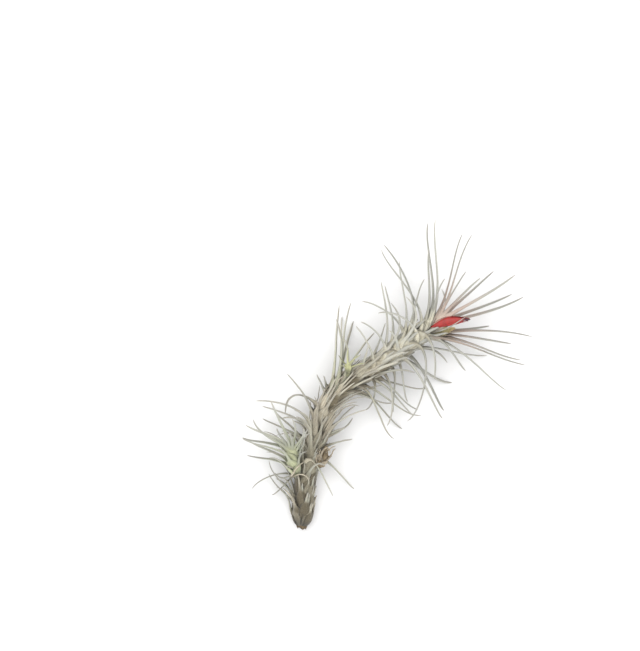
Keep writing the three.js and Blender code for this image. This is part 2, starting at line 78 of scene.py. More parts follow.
STEM_AXIS = [
    (-6.5, -72, 2.1), (-5.6, -57, 3), (-5, -52, 3.6), (-3.3, -46, 4.4), (-1, -40, 5.1),
    (-0.2, -35, 5.7), (1.5, -30, 6.2), (4.3, -25.5, 6.8), (8.5, -21, 7.4), (13.5, -17.5, 8),
    (20, -13.8, 8.6), (28, -8, 9.4), (35, -2.8, 10.2), (40, -0.6, 10.8),
]
STEM_RADIUS = [(0, 1.7), (2.5, 2.8), (9, 3.4), (60, 3.4), (78, 3.1), (86, 2.4), (92, 1.1)]
BASE_OFFSET_AXIS = [(-7.2, -55, 5.6), (-8.6, -50.5, 8), (-9.8, -46.5, 9.6), (-10.6, -43, 10.6)]
BASE_OFFSET_RADIUS = [(0, 1), (3, 1.9), (9, 1.7), (13, 0.7)]
SIDE_OFFSET_AXIS = [(9.8, -18.6, 10.8), (9.9, -15.8, 12.6), (10.3, -13.4, 13.9)]
SIDE_OFFSET_RADIUS = [(0, 0.8), (1.5, 1.2), (4, 1), (6, 0.5)]
FLOWER_AXIS = [(38.6, -0.9, 12.6), (43.4, 1.2, 14.2), (47.6, 1.8, 15.6), (52.4, 2.1, 16.8)]
BRACT_AXIS = [(38.4, -3.4, 11), (41.5, -2.7, 11.6), (44.4, -1.6, 12.6), (47, -0.9, 13.7)]
STUB_AXIS = [(-1.3, -49.5, 6.4), (0.5, -47.3, 7.6), (1.7, -44.5, 8.4), (2.3, -42.5, 8.8)]
STUB_RADIUS = [(0, 0.9), (1.8, 2), (4.6, 1.9), (6.4, 1.1), (7.4, 0.6)]

# a marked leaf: where its blade leaves the stem, a place half way along it, its tip, all in plan,
# and the height of the tip
FOOT_LEFT = [
    (-3.3, -30, -6, -23.7, -11, -17.5, 13), (-4.2, -34, -10, -28.6, -21.6, -26.6, 12),
    (-4.7, -36, -10, -31.9, -19.3, -28.6, 7), (-7.3, -39.4, -11.2, -34.4, -15.5, -29.8, 16),
    (-5, -35, -8.4, -32.6, -12.5, -32.5, 9), (-7.3, -39.6, -11.9, -36.6, -19.3, -33.2, 4),
    (-9.6, -59.5, -14.3, -54.2, -17.4, -48.1, 9), (-9.8, -62, -14.1, -57.5, -17.4, -53.1, 3),
    (-9.6, -53.3, -12.5, -56.1, -16.3, -59.2, 2), (-9.6, -52.8, -20, -54.3, -23.4, -57.2, 1.2),
    (-8.4, -51.6, -11.6, -53.3, -15, -52, 6), (-2.5, -27, -7.4, -24.3, -11.6, -30, 11),
    (1.2, -23, 0.4, -20.5, -0.8, -17.8, 12), (2, -21.5, 1.9, -20, 1.5, -18.3, 10),
]
FOOT_RIGHT = [
    (4.2, -36, 8.9, -32.3, 15.3, -29.6, 11), (4.1, -37, 7.5, -32.6, 11.6, -28.8, 6),
    (3.6, -39, 7.4, -36.8, 10.8, -33.3, 4), (3.4, -38.4, 5.9, -36.8, 8.5, -35.8, 9),
    (2.9, -42.4, 6.6, -41, 10.5, -40.2, 3), (1.1, -47.6, 6.2, -51.4, 11.5, -57, 1),
    (-2.2, -48, 0.3, -51.4, 4, -59, 6),
]
BEND_LEFT = [
    (4, -19, 5.5, -7, 6.7, 6, 12), (5.8, -18, 7.6, -8, 5.8, 1.2, 17),
    (6.2, -17, 7.5, -6, 7.7, 2.3, 0), (6.5, -15.5, 8.2, -4.5, 10.7, 7, 14),
    (5.8, -19, 8.8, -9, 11.5, 0.5, 1), (9.3, -14.5, 9.8, -9.5, 7.9, -4.5, 6),
    (10, -14.3, 13.5, -9.3, 18.5, -3.3, 5), (18.2, -12, 17, -7, 13, -1, 15),
    (22.5, -8, 20, -2.8, 15, 0.7, 14), (14.5, -13.5, 15.8, -10.5, 16.8, -7, 16),
    (18.7, -9.7, 20.9, -5, 22.5, 0, 12), (22, -8, 23.4, 2, 21.5, 14.4, 10),
    (25, -4, 25, 3.5, 22.7, 13, 16), (28.5, -1.5, 24.2, 4.2, 15.6, 8, 12),
    (32.6, -1.6, 28.5, 2.8, 21.1, 4.1, 19), (26.7, -8, 26.2, -4.5, 24.5, -2.3, 19),
]
CROWN_LEFT = [
    (32, 0.6, 31.2, 12.7, 22.6, 27.2, 17), (35, 1.4, 28.4, 15.7, 21.9, 25.6, 12),
    (29.5, -1, 29.8, 9.5, 28.1, 21.8, 2), (31.5, 1, 33.8, 9.7, 35.8, 15.3, 20),
    (37.8, 3, 39.2, 15, 37.6, 34.7, 14), (36.5, 2.4, 38, 12, 37.7, 26, 20),
    (38.7, 3.6, 40.8, 17.2, 40, 35.7, 18), (38.8, 4.4, 40.6, 10.5, 42.8, 15.5, 22),
    (40.5, 4, 45.1, 15.2, 49.6, 31.3, 10), (41.4, 4.1, 46.5, 15.6, 52.5, 30.8, 17),
    (41.9, 5, 46, 11.5, 49.8, 17.9, 24), (42.6, 4, 48.5, 9.8, 55, 15.8, 15),
    (43.4, 4, 52, 11.2, 60, 18.4, 9), (43.6, 3, 55, 9.3, 67.1, 17.1, 14),
    (43.4, 1.6, 55, 5.9, 66.8, 10.7, 2), (44, 0.8, 57, 4.4, 70.3, 9.7, 10),
]
CROWN_RIGHT = [
    (44, -2.5, 57, -1.8, 73.3, -3.8, 8), (43.4, -2.2, 51, -1.4, 58.5, -0.3, 6),
    (42, -3.5, 54.2, -4.3, 65.9, -6.2, 9.5), (41, -4, 54.2, -6.9, 69.4, -11.8, 10),
    (42, -4.8, 55.7, -8.4, 71.4, -13.6, 6), (34, -8.2, 46, -9, 58, -10.5, 1),
    (39, -5, 50.7, -10.4, 64.4, -22, 10), (41.2, -5, 46.2, -9.8, 49.9, -15, 18),
    (37.5, -4.8, 39.6, -9.6, 39.6, -17.5, 17), (34.5, -7.6, 35.4, -25, 31, -32.6, 11),
    (29.4, -10, 36, -16.2, 43, -29, 7), (28.5, -11.8, 35, -18.2, 42.3, -31.6, 12),
    (28, -12, 36.7, -16.1, 45.8, -19.8, 0), (19.4, -19, 29.4, -21.2, 37.3, -22, 1.3),
    (20, -17.5, 25.5, -15.8, 32, -16.4, 12), (27.5, -13.4, 29.1, -19.5, 30.5, -25.7, 9),
]
BEND_RIGHT = [
    (20.7, -18.4, 26.5, -23.2, 33.4, -28.8, 10), (19.4, -19.6, 26.5, -24.9, 32, -30.9, 5),
    (15.9, -21.6, 26.3, -27.7, 34.7, -31.4, 3), (12.6, -24, 18.8, -26, 24, -27, 8),
    (14.2, -23.6, 22, -29.6, 28.4, -35.9, 0), (15.3, -22.4, 20.5, -30.6, 25.4, -39, 7),
    (22.3, -17.2, 25.2, -24, 23.6, -34.1, 9), (25.4, -15.8, 26.1, -23, 25.9, -29.6, 4),
    (18.6, -19.6, 19, -25, 16.4, -29, 5),
]
# the dry leaves that fill the inside of the bend
BEND_INSIDE = [
    (3.2, -36.4, 6, -31.4, 10, -28.6, 6), (3.6, -34.5, 7, -29.6, 12.8, -28.4, 9),
    (3.8, -32.5, 8, -27.6, 14.6, -25.6, 8), (4.4, -30.5, 9.4, -25.9, 17, -23.4, 7),
    (5.4, -28.2, 10.5, -24.6, 19, -22.6, 9), (4, -31.4, 7.6, -28.4, 12, -27, 11),
    (8.8, -24.8, 13.5, -22.6, 20.5, -21.2, 8),
]
# the slim leaf that passes over the flower, from inside the crown: four places along it
FLOWER_LEAF = ((36.5, -1.2, 11.5), (40, -2.1, 14.2), (46.2, 0.2, 18), (50.6, 3.2, 20))
BASE_OFFSET_LEAVES = [
    (-10.1, -42, -13.2, -34.5, -16.5, -27.1, 19), (-11.4, -43.4, -17.6, -39, -22.6, -33.3, 17),
    (-10.6, -42.4, -16.7, -38.6, -25, -35.2, 12), (-11.2, -44, -16.2, -41.6, -26.2, -39.3, 9),
    (-12, -45.2, -18, -42.4, -26, -39.6, 15), (-11.4, -47.6, -15.4, -45, -24.9, -40.3, 5),
    (-11, -49.4, -15.8, -47.4, -24.7, -45.9, 4), (-9.2, -42, -8.6, -37.6, -9.4, -33, 20),
    (-8.8, -43, -6.6, -39.4, -6, -36, 21), (-11, -42.6, -13.2, -39, -14.6, -36, 23),
    (-9.4, -43.4, -9.6, -40.4, -10.4, -37.2, 22), (-10, -43, -11, -40, -12.2, -37.2, 22),
    (-8, -44, -6.4, -40, -4.6, -36.4, 18), (-7.4, -45, -6.2, -42.2, -5.6, -39.6, 16),
]
SIDE_OFFSET_LEAVES = [
    (10, -13.4, 11.4, -12, 13.4, -10.6, 15), (9.6, -13.2, 9.4, -11.2, 9.8, -8.8, 16),
    (8.8, -13.8, 7.8, -12.2, 6.8, -10.8, 17), (11.4, -14.4, 13, -13.6, 14.8, -13.2, 16),
    (10.2, -14, 11, -12.8, 12, -12.4, 20), (9, -14.8, 8, -14, 7, -14, 19),
]

# loose dry leaves that lie over the stem, each by four places along it
DRY_CURLS = [
    ((-10.2, -53, 8), (-8.4, -52.2, 9.4), (-6, -52.2, 9.6), (-4, -55, 8.4)),
    ((-10.4, -52.6, 8.4), (-9, -50.8, 10.4), (-7.6, -49.2, 11), (-5.6, -47.8, 10.2)),
]
STUB_CURLS = [
    ((0.4, -46.6, 8.6), (0.8, -43.9, 10.4), (2.3, -42.7, 10.8), (3.6, -44.8, 10)),
    ((1.5, -44.7, 8.4), (2.7, -43.7, 8.6), (3.9, -42.9, 8.6), (5.5, -42.1, 8.4)),
]

# the turn from one leaf of a spiral to the next, in degrees
SPIRAL_TURN = 137.5
# how far out in the stem a leaf is rooted, as a share of its radius, and the last distance for it
ROOT_DEPTH = 0.62
LAST_ROOT = 89.0
# how far a fine point goes on past a marked tip
FINE_POINT = 1.0
# the lowest that the curves of leaves are let
MARKED_LEAF_FLOOR = 0.08
SPIRAL_LEAF_FLOOR = 1.1


# Numbers and places

def seeded_draws(seed: int) -> Iterator[float]:
    """Draws the part's own stream of numbers.

    Args:
        seed: where the stream starts.

    Returns:
        An endless stream of numbers from 0 to 1.
    """
    mask = 0xFFFFFFFF
    state = seed
    while True:
        state = (state + 0x6D2B79F5) & mask
        mixed = ((state ^ (state >> 15)) * (state | 1)) & mask
        mixed ^= (mixed + (((mixed ^ (mixed >> 7)) * (mixed | 61)) & mask)) & mask
        yield ((mixed ^ (mixed >> 14)) & mask) / 4294967296


def varied(draw: Iterator[float], least: float, span: float) -> float:
    """Draws a number that is the least one or more, by up to the span."""
    return least + span * next(draw)


def value_at(pairs: Pairs, place: float) -> float:
    """Reads a row of (place, value) pairs.

    Args:
        pairs: the places, in order, with their values.
        place: where to read.

    Returns:
        The value, with straight lines between the pairs.
    """
    return float(np.interp(place, [at for at, _ in pairs], [value for _, value in pairs]))


def unit(way: Point) -> Point:
    """The way with a length of one."""
    return way / np.linalg.norm(way)


def in_frame(points: np.ndarray) -> np.ndarray:
    """Places of the plan, in millimetres, as places of the part's frame, in metres."""
    return (np.asarray(points, float) - PLAN_CENTRE) * MILLIMETRE


def paint(code: str, share: float = SEEN_SHARE) -> tuple[float, float, float, float]:
    """Turns a colour as it is seen in the studio into one for a material.

    Args:
        code: red, green and blue as six hexadecimal digits.
        share: how much of the light that is seen the material itself gives back.

    Returns:
        The colour in linear light, with an opacity of one.
    """
    seen = [int(code[at:at + 2], 16) / 255 for at in (0, 2, 4)]
    light = [((one + 0.055) / 1.055) ** 2.4 if one > 0.04045 else one / 12.92 for one in seen]
    return (light[0] * share, light[1] * share, light[2] * share, 1.0)


@dataclass
class Station:
    """A place on a shoot's axis, the way along it, to its left and up from it."""

    point: Point
    along: Point
    left: Point
    up: Point


class Shoot:
    """A smooth axis through its places, straight on past its two ends."""

    SAMPLES = 200
    TANGENT_STEP = 0.0001
    SCAN_STEP = 0.25
    SCAN_PAST = 8.0

    def __init__(self, points: Sequence[tuple[float, float, float]]) -> None:
        """Measures the axis.

        Args:
            points: the places that the axis runs through, in plan.
        """
        self.points = np.array(points, float)
        self.shares = np.linspace(0, 1, self.SAMPLES + 1)
        samples = np.array([self._place(share) for share in self.shares])
        steps = np.linalg.norm(np.diff(samples, axis=0), axis=1)
        self.lengths = np.concatenate([[0], np.cumsum(steps)])
        self.length = float(self.lengths[-1])
        self.scan = np.arange(0, self.length + self.SCAN_PAST + 1e-9, self.SCAN_STEP)
        self.scanned = np.array([self.station(distance).point for distance in self.scan])

    def _place(self, share: float) -> Point:
        """Finds a place on the axis by its own parameter.

        Args:
            share: 0 at the foot and 1 at the end.

        Returns:
            The place, on a smooth curve through the axis's places.
        """
        last = len(self.points) - 1
        index = min(int(share * last), last - 1)
        weight = share * last - index
        here, after = self.points[index], self.points[index + 1]
        before = self.points[index - 1] if index else 2 * here - after
        beyond = self.points[index + 2] if index + 2 <= last else 2 * after - here
        leaving, arriving = (after - before) / 2, (beyond - here) / 2
        square = -3 * here + 3 * after - 2 * leaving - arriving
        cube = 2 * here - 2 * after + leaving + arriving
        return here + weight * (leaving + weight * (square + weight * cube))

    def station(self, distance: float) -> Station:
        """Finds a place on the axis.

        Args:
            distance: the way from the foot, in millimetres.

        Returns:
            The place with the ways that belong to it.
        """
        kept = min(max(distance, 0.0), self.length)
        share = float(np.interp(kept, self.lengths, self.shares))
        back = self._place(max(share - self.TANGENT_STEP, 0.0))
        ahead = self._place(min(share + self.TANGENT_STEP, 1.0))
        along = unit(ahead - back)
        left = unit(np.cross((0, 0, 1), along))
        point = self._place(share) + along * (distance - kept)
        return Station(point, along, left, unit(np.cross(along, left)))

    def beside(self, distance: float, bearing: float, radius: float) -> Point:
        """Finds a place beside the axis.

        Args:
            distance: the way from the foot.
            bearing: 0 is to the left of the axis, a quarter turn straight up from it.
            radius: how far out from the axis.

        Returns:
            The place.
        """
        here = self.station(distance)
        return here.point + radius * (here.left * math.cos(bearing) + here.up * math.sin(bearing))

    def distance_beside(self, x: float, y: float) -> float:
        """The distance from the foot at which a place in plan lies straight beside the axis."""
        away = np.hypot(self.scanned[:, 0] - x, self.scanned[:, 1] - y)
        return float(self.scan[int(np.argmin(away))])


# Leaves

@dataclass
class Leaf:
    """One leaf: the four control places of its curve and what its surface needs to know."""

    root: Point
    ahead: Point
    behind: Point
    tip: Point
    side: Point
    leave_share: float
    distance: float
    breadth: float = 1.0
    wrap: float = 4.0
    twist: float = 0.0
    wave: float = 0.0
    dry_sheath: float = 0.0
    dry_blade: float = 0.0
    blush: float = 0.0
    green: float = 0.0
    stain_and_shade: float = 0.0
    tint: float = 0.5

    CARRIES = 14

    def place(self, share: float) -> Point:
        """The place on the leaf's curve at a share of it."""
        rest = 1 - share
        return (
            rest**3 * self.root + 3 * rest**2 * share * self.ahead
            + 3 * rest * share**2 * self.behind + share**3 * self.tip
        )

    def way(self, share: float) -> Point:
        """The way along the leaf's curve at a share of it."""
        rest = 1 - share
        return unit(
            rest**2 * (self.ahead - self.root) + 2 * rest * share * (self.behind - self.ahead)
            + share**2 * (self.tip - self.behind)
        )

    def side_at_tip(self) -> Point:
        """Carries the way across the leaf along its curve.

        Returns:
            The way across the leaf at its tip.
        """
        across = self.side
        for share in np.linspace(0, 1, self.CARRIES):
            along = self.way(share)
            across = unit(across - along * across.dot(along))
        return across


def leaf_through(
    root: Point, leave: Point, middle: Point, tip: Point, side: Point, distance: float,
    lowest: float = -99.0,
) -> Leaf:
    """Bends the one cubic curve through a leaf's four places.

    Args:
        root: the foot of the leaf, inside the stem.
        leave: where its blade leaves the stem.
        middle: half way along the blade.
        tip: the end of the blade.
        side: the way across the leaf at its root.
        distance: the distance of the root from the foot of the shoot.
        lowest: the height under which the curve isn't let.

    Returns:
        The leaf.
    """
    first = float(np.linalg.norm(leave - root))
    second = first + float(np.linalg.norm(middle - leave))
    whole = second + float(np.linalg.norm(tip - middle))
    at = np.array([first / whole, second / whole])
    near, far = 3 * (1 - at) ** 2 * at, 3 * (1 - at) * at**2
    ends = np.outer((1 - at) ** 3, root) + np.outer(at**3, tip)
    controls = np.linalg.solve(np.column_stack([near, far]), np.array([leave, middle]) - ends)
    ahead, behind, last = controls[0], controls[1], np.array(tip, float)
    for place in (ahead, behind, last):
        place[2] = max(place[2], lowest)
    return Leaf(np.array(root, float), ahead, behind, last, side, float(at[0]), distance)


def loose_leaf(places: Sequence[tuple[float, float, float]]) -> Leaf:
    """Lays a leaf that is given by its four places over what grows there."""
    points = [np.array(place, float) for place in places]
    return leaf_through(*points, np.array([0.0, 0.0, 1.0]), 0.0)


def marked_leaf(
    shoot: Shoot, radii: Pairs, sheath: float, wrap: float, row: Sequence[float],
) -> Leaf:
    """Grows a leaf that is given by its places in plan.

    Args:
        shoot: what it grows on.
        radii: the shoot's radius by the distance from its foot.
        sheath: the length of the leaf's sheath.
        wrap: how far out from the axis the sheath wraps it.
        row: the leaf's places in plan and the height of its tip.

    Returns:
        The leaf.
    """
    leave_x, leave_y, middle_x, middle_y, tip_x, tip_y, tip_z = row
    distance = shoot.distance_beside(leave_x, leave_y)
    here = shoot.station(distance)
    aside = (leave_x - here.point[0]) * here.left[0] + (leave_y - here.point[1]) * here.left[1]
    across = min(max(aside / wrap, -1.0), 1.0)
    front = 1 if tip_z > here.point[2] else -1
    bearing = math.atan2(front * math.sqrt(1 - across**2), across)
    root_at = min(distance - sheath, min(shoot.length - 1, LAST_ROOT))
    root = shoot.beside(root_at, bearing, ROOT_DEPTH * value_at(radii, root_at))
    leave_z = here.point[2] + wrap * math.sin(bearing)
    middle_z = 0.5 * (leave_z + tip_z) + 0.1 * (leave_z - here.point[2])
    outward = here.left * math.cos(bearing) + here.up * math.sin(bearing)
    middle = np.array([middle_x, middle_y, middle_z])
    tip = np.array([tip_x, tip_y, tip_z], float)
    leaf = leaf_through(
        root,
        np.array([leave_x, leave_y, leave_z]),
        middle,
        tip + FINE_POINT * unit(tip - middle),
        np.cross(here.along, outward),
        root_at,
        MARKED_LEAF_FLOOR,
    )
    leaf.wrap = wrap
    return leaf


@dataclass(frozen=True)
class Spiral:
    """Leaves round a shoot at the turn of a sunflower's seeds, with seeded differences."""

    seed: int
    count: int
    begins: float
    ends: float
    jitter: float
    sheath: float
    wrap: float
    radii: Pairs
    lift: Pairs
    reach: Pairs
    swing: float
    # how a leaf differs from the rule: the least share of it and what is drawn on top
    lift_varies: tuple[float, float] = (0.8, 0.4)
    reach_varies: tuple[float, float] = (0.75, 0.5)
    swing_varies: tuple[float, float] = (0.7, 0.6)
    curl_varies: tuple[float, float] = (0.35, 0.3)
    # past these distances the sides, and then the top, are left to the marked leaves
    marked_from: float = math.inf
    marked_share: float = 1.0
    open_from: float = math.inf
    # up to this distance the leaves on the right are short and pressed to the shoot
    pressed_until: float = -math.inf
    pressed_share: float = -0.2
    pressed_lift: float = 8.0
    pressed_reach: float = 4.0
    # past this distance one leaf in every few stands free
    free_from: float = math.inf
    free_every: int = 4
    free_lift: float = 46.0
    free_reach: float = 17.0
    free_swing: float = 52.0

    def leaves(self, shoot: Shoot) -> list[Leaf]:
        """Grows the leaves of the spiral.

        Args:
            shoot: what they grow on.

        Returns:
            The leaves, without those whose place the marked leaves take.
        """
        draw = seeded_draws(self.seed)
        grown = []
        for index in range(self.count):
            root_at = self.begins + (self.ends - self.begins) * (index + 0.5) / self.count
            bearing = math.radians(index * SPIRAL_TURN + self.jitter * (2 * next(draw) - 1))
            lift = math.radians(value_at(self.lift, root_at) * varied(draw, *self.lift_varies))
            reach = value_at(self.reach, root_at) * varied(draw, *self.reach_varies)
            swing = math.radians(self.swing * varied(draw, *self.swing_varies))
            curl = varied(draw, *self.curl_varies)
            aside = math.cos(bearing)
            if root_at > self.marked_from and abs(aside) > self.marked_share:
                continue
            if root_at > self.open_from and math.sin(bearing) > 0:
                continue
            if root_at < self.pressed_until and aside < self.pressed_share:
                lift, reach = math.radians(self.pressed_lift), self.pressed_reach
            if root_at > self.free_from and index % self.free_every == 0:
                lift, reach = math.radians(self.free_lift), self.free_reach
                swing = math.radians(self.free_swing)
            turned = bearing - math.copysign(1, aside) * math.copysign(1, math.sin(bearing)) * swing
            # the blade leaves its sheath and bends away from the shoot in two steps
            leave = shoot.beside(root_at + self.sheath, bearing, self.wrap)
            here = shoot.station(root_at + self.sheath)
            outward = here.left * math.cos(turned) + here.up * math.sin(turned)
            root = shoot.beside(max(root_at, 1), bearing, ROOT_DEPTH * value_at(self.radii, root_at))
            blade = [
                leave + length * (here.along * math.cos(angle) + outward * math.sin(angle))
                for length, angle in ((0.5 * reach, lift * curl), (reach, lift))
            ]
            side = here.up * aside - here.left * math.sin(bearing)
            leaf = leaf_through(root, leave, *blade, side, root_at, SPIRAL_LEAF_FLOOR)
            leaf.wrap = self.wrap
            grown.append(leaf)
        return grown


# Node trees

class Maker:
    """Adds nodes and links to a node tree, for a shape or for a finish."""

    def __init__(self, tree: bpy.types.NodeTree) -> None:
        """Keeps the tree that the nodes are added to."""
        self.tree = tree

    def node(self, kind: str, **settings: object) -> bpy.types.Node:
        """Adds a node.

        Args:
            kind: Blender's name for the node's type.
            settings: properties of the node, by name.

        Returns:
            The node.
        """
        made = self.tree.nodes.new(kind)
        for name, value in settings.items():
            setattr(made, name, value)
        return made

    def feed(self, socket: bpy.types.NodeSocket, value: object) -> None:
        """Links a value to a socket, or sets it there.

        Args:
            socket: the input.
            value: an output socket, a number, a vector or a colour.
        """
        if isinstance(value, bpy.types.NodeSocket):
            self.tree.links.new(value, socket)
        else:
            socket.default_value = value

    def math(self, operation: str, *values: object, clamp: bool = False) -> bpy.types.NodeSocket:
        """Adds a sum with numbers.

        Args:
            operation: what is done.
            values: what it is done to.
            clamp: whether the answer is kept from 0 to 1.

        Returns:
            The answer's socket.
        """
        made = self.node("ShaderNodeMath", operation=operation, use_clamp=clamp)
        for socket, value in zip(made.inputs, values):
            self.feed(socket, value)
        return made.outputs[0]

    def product(self, *values: object) -> bpy.types.NodeSocket:
        """Adds the product of two or more numbers.

        Args:
            values: the numbers.

        Returns:
            The product's socket.
        """
        total = values[0]
        for value in values[1:]:
            total = self.math("MULTIPLY", total, value)
        return total

    def line(self, value: object, slope: object, start: object) -> bpy.types.NodeSocket:
        """Adds a straight line: the value times a slope, from a start."""
        return self.math("MULTIPLY_ADD", value, slope, start)

    def vector(self, operation: str, *values: object) -> bpy.types.NodeSocket:
        """Adds a sum with vectors.

        Args:
            operation: what is done.
            values: what it is done to; a scale's factor comes last.

        Returns:
            The answer's socket.
        """
        made = self.node("ShaderNodeVectorMath", operation=operation)
        sockets = [made.inputs[0], made.inputs[3]] if operation == "SCALE" else made.inputs
        for socket, value in zip(sockets, values):
            self.feed(socket, value)
        return made.outputs[1 if operation == "DOT_PRODUCT" else 0]

    def combine(self, x: object, y: object, z: object) -> bpy.types.NodeSocket:
        """Adds a vector made of three numbers.

        Args:
            x: the first number.
            y: the second.
            z: the third.

        Returns:
            The vector's socket.
        """
        made = self.node("ShaderNodeCombineXYZ")
        for socket, value in zip(made.inputs, (x, y, z)):
            self.feed(socket, value)
        return made.outputs[0]

    def mix(self, kind: str, factor: object, first: object, second: object) -> bpy.types.NodeSocket:
        """Adds a mix of two values.

        Args:
            kind: FLOAT, VECTOR or RGBA.
            factor: the share of the second value.
            first: a number, vector, colour or socket.
            second: the same.

        Returns:
            The answer's socket.
        """
        made = self.node("ShaderNodeMix", data_type=kind, clamp_factor=True)
        # the inputs of each kind come in pairs, and the outputs one by one
        at = {"FLOAT": 2, "VECTOR": 4, "RGBA": 6}[kind]
        self.feed(made.inputs[0], factor)
        self.feed(made.inputs[at], first)
        self.feed(made.inputs[at + 1], second)
        return made.outputs[at // 2 - 1]

    def blend(self, factor: object, first: object, second: object) -> bpy.types.NodeSocket:
        """Adds a mix of two colours, each a socket or a seen colour's six digits."""
        ends = [paint(one) if isinstance(one, str) else one for one in (first, second)]
        return self.mix("RGBA", factor, *ends)

    def parts(self, place: object) -> bpy.types.bpy_prop_collection:
        """Splits a vector into its three numbers.

        Args:
            place: the vector.

        Returns:
            The three numbers' sockets.
        """
        made = self.node("ShaderNodeSeparateXYZ")
        self.feed(made.inputs[0], place)
        return made.outputs

    def ease(self, value: object, begins: float, ends: float) -> bpy.types.NodeSocket:
        """Adds a smooth step from 0 to 1.

        Args:
            value: what is measured.
            begins: where the step starts.
            ends: where it is done.

        Returns:
            The answer's socket.
        """
        made = self.node("ShaderNodeMapRange", interpolation_type="SMOOTHSTEP")
        for socket, given in zip(made.inputs, (value, begins, ends, 0.0, 1.0)):
            self.feed(socket, given)
        return made.outputs[0]

    def noise(
        self, place: object, scale: float, detail: float = 2.0, colour: bool = False,
    ) -> bpy.types.NodeSocket:
        """Adds noise.

        Args:
            place: the vector at which it is read.
            scale: how fine it is.
            detail: how many finer layers lie on it.
            colour: whether the answer is a vector instead of a number.

        Returns:
            The answer's socket.
        """
        made = self.node("ShaderNodeTexNoise")
        self.feed(made.inputs["Vector"], place)
        made.inputs["Scale"].default_value = scale
        made.inputs["Detail"].default_value = detail
        return made.outputs[1 if colour else 0]


class LeafData(Enum):
    """What is kept on the surface of a leaf for its finish, by the name of its attribute."""

    ALONG = "along"
    AROUND = "around"
    INNER = "inner"
    DRY_SHEATH = "dry_sheath"
    DRY_BLADE = "dry_blade"
    BLUSH = "blush"
    GREEN = "green"
    STAIN_AND_SHADE = "stain_and_shade"
    TINT = "tint"


LEAF_NUMBERS = (
    "leave_share", "breadth", "wrap", "twist", "wave",
    "dry_sheath", "dry_blade", "blush", "green", "stain_and_shade", "tint",
)
LEAF_PLACES = ("root", "ahead", "behind", "tip")
# what the leaves' tree reads and their finish doesn't
SHAPE_ONLY = (
    *LEAF_PLACES, "side_root", "side_tip", "leave_share", "section", "twist", "wave", "wrap",
)


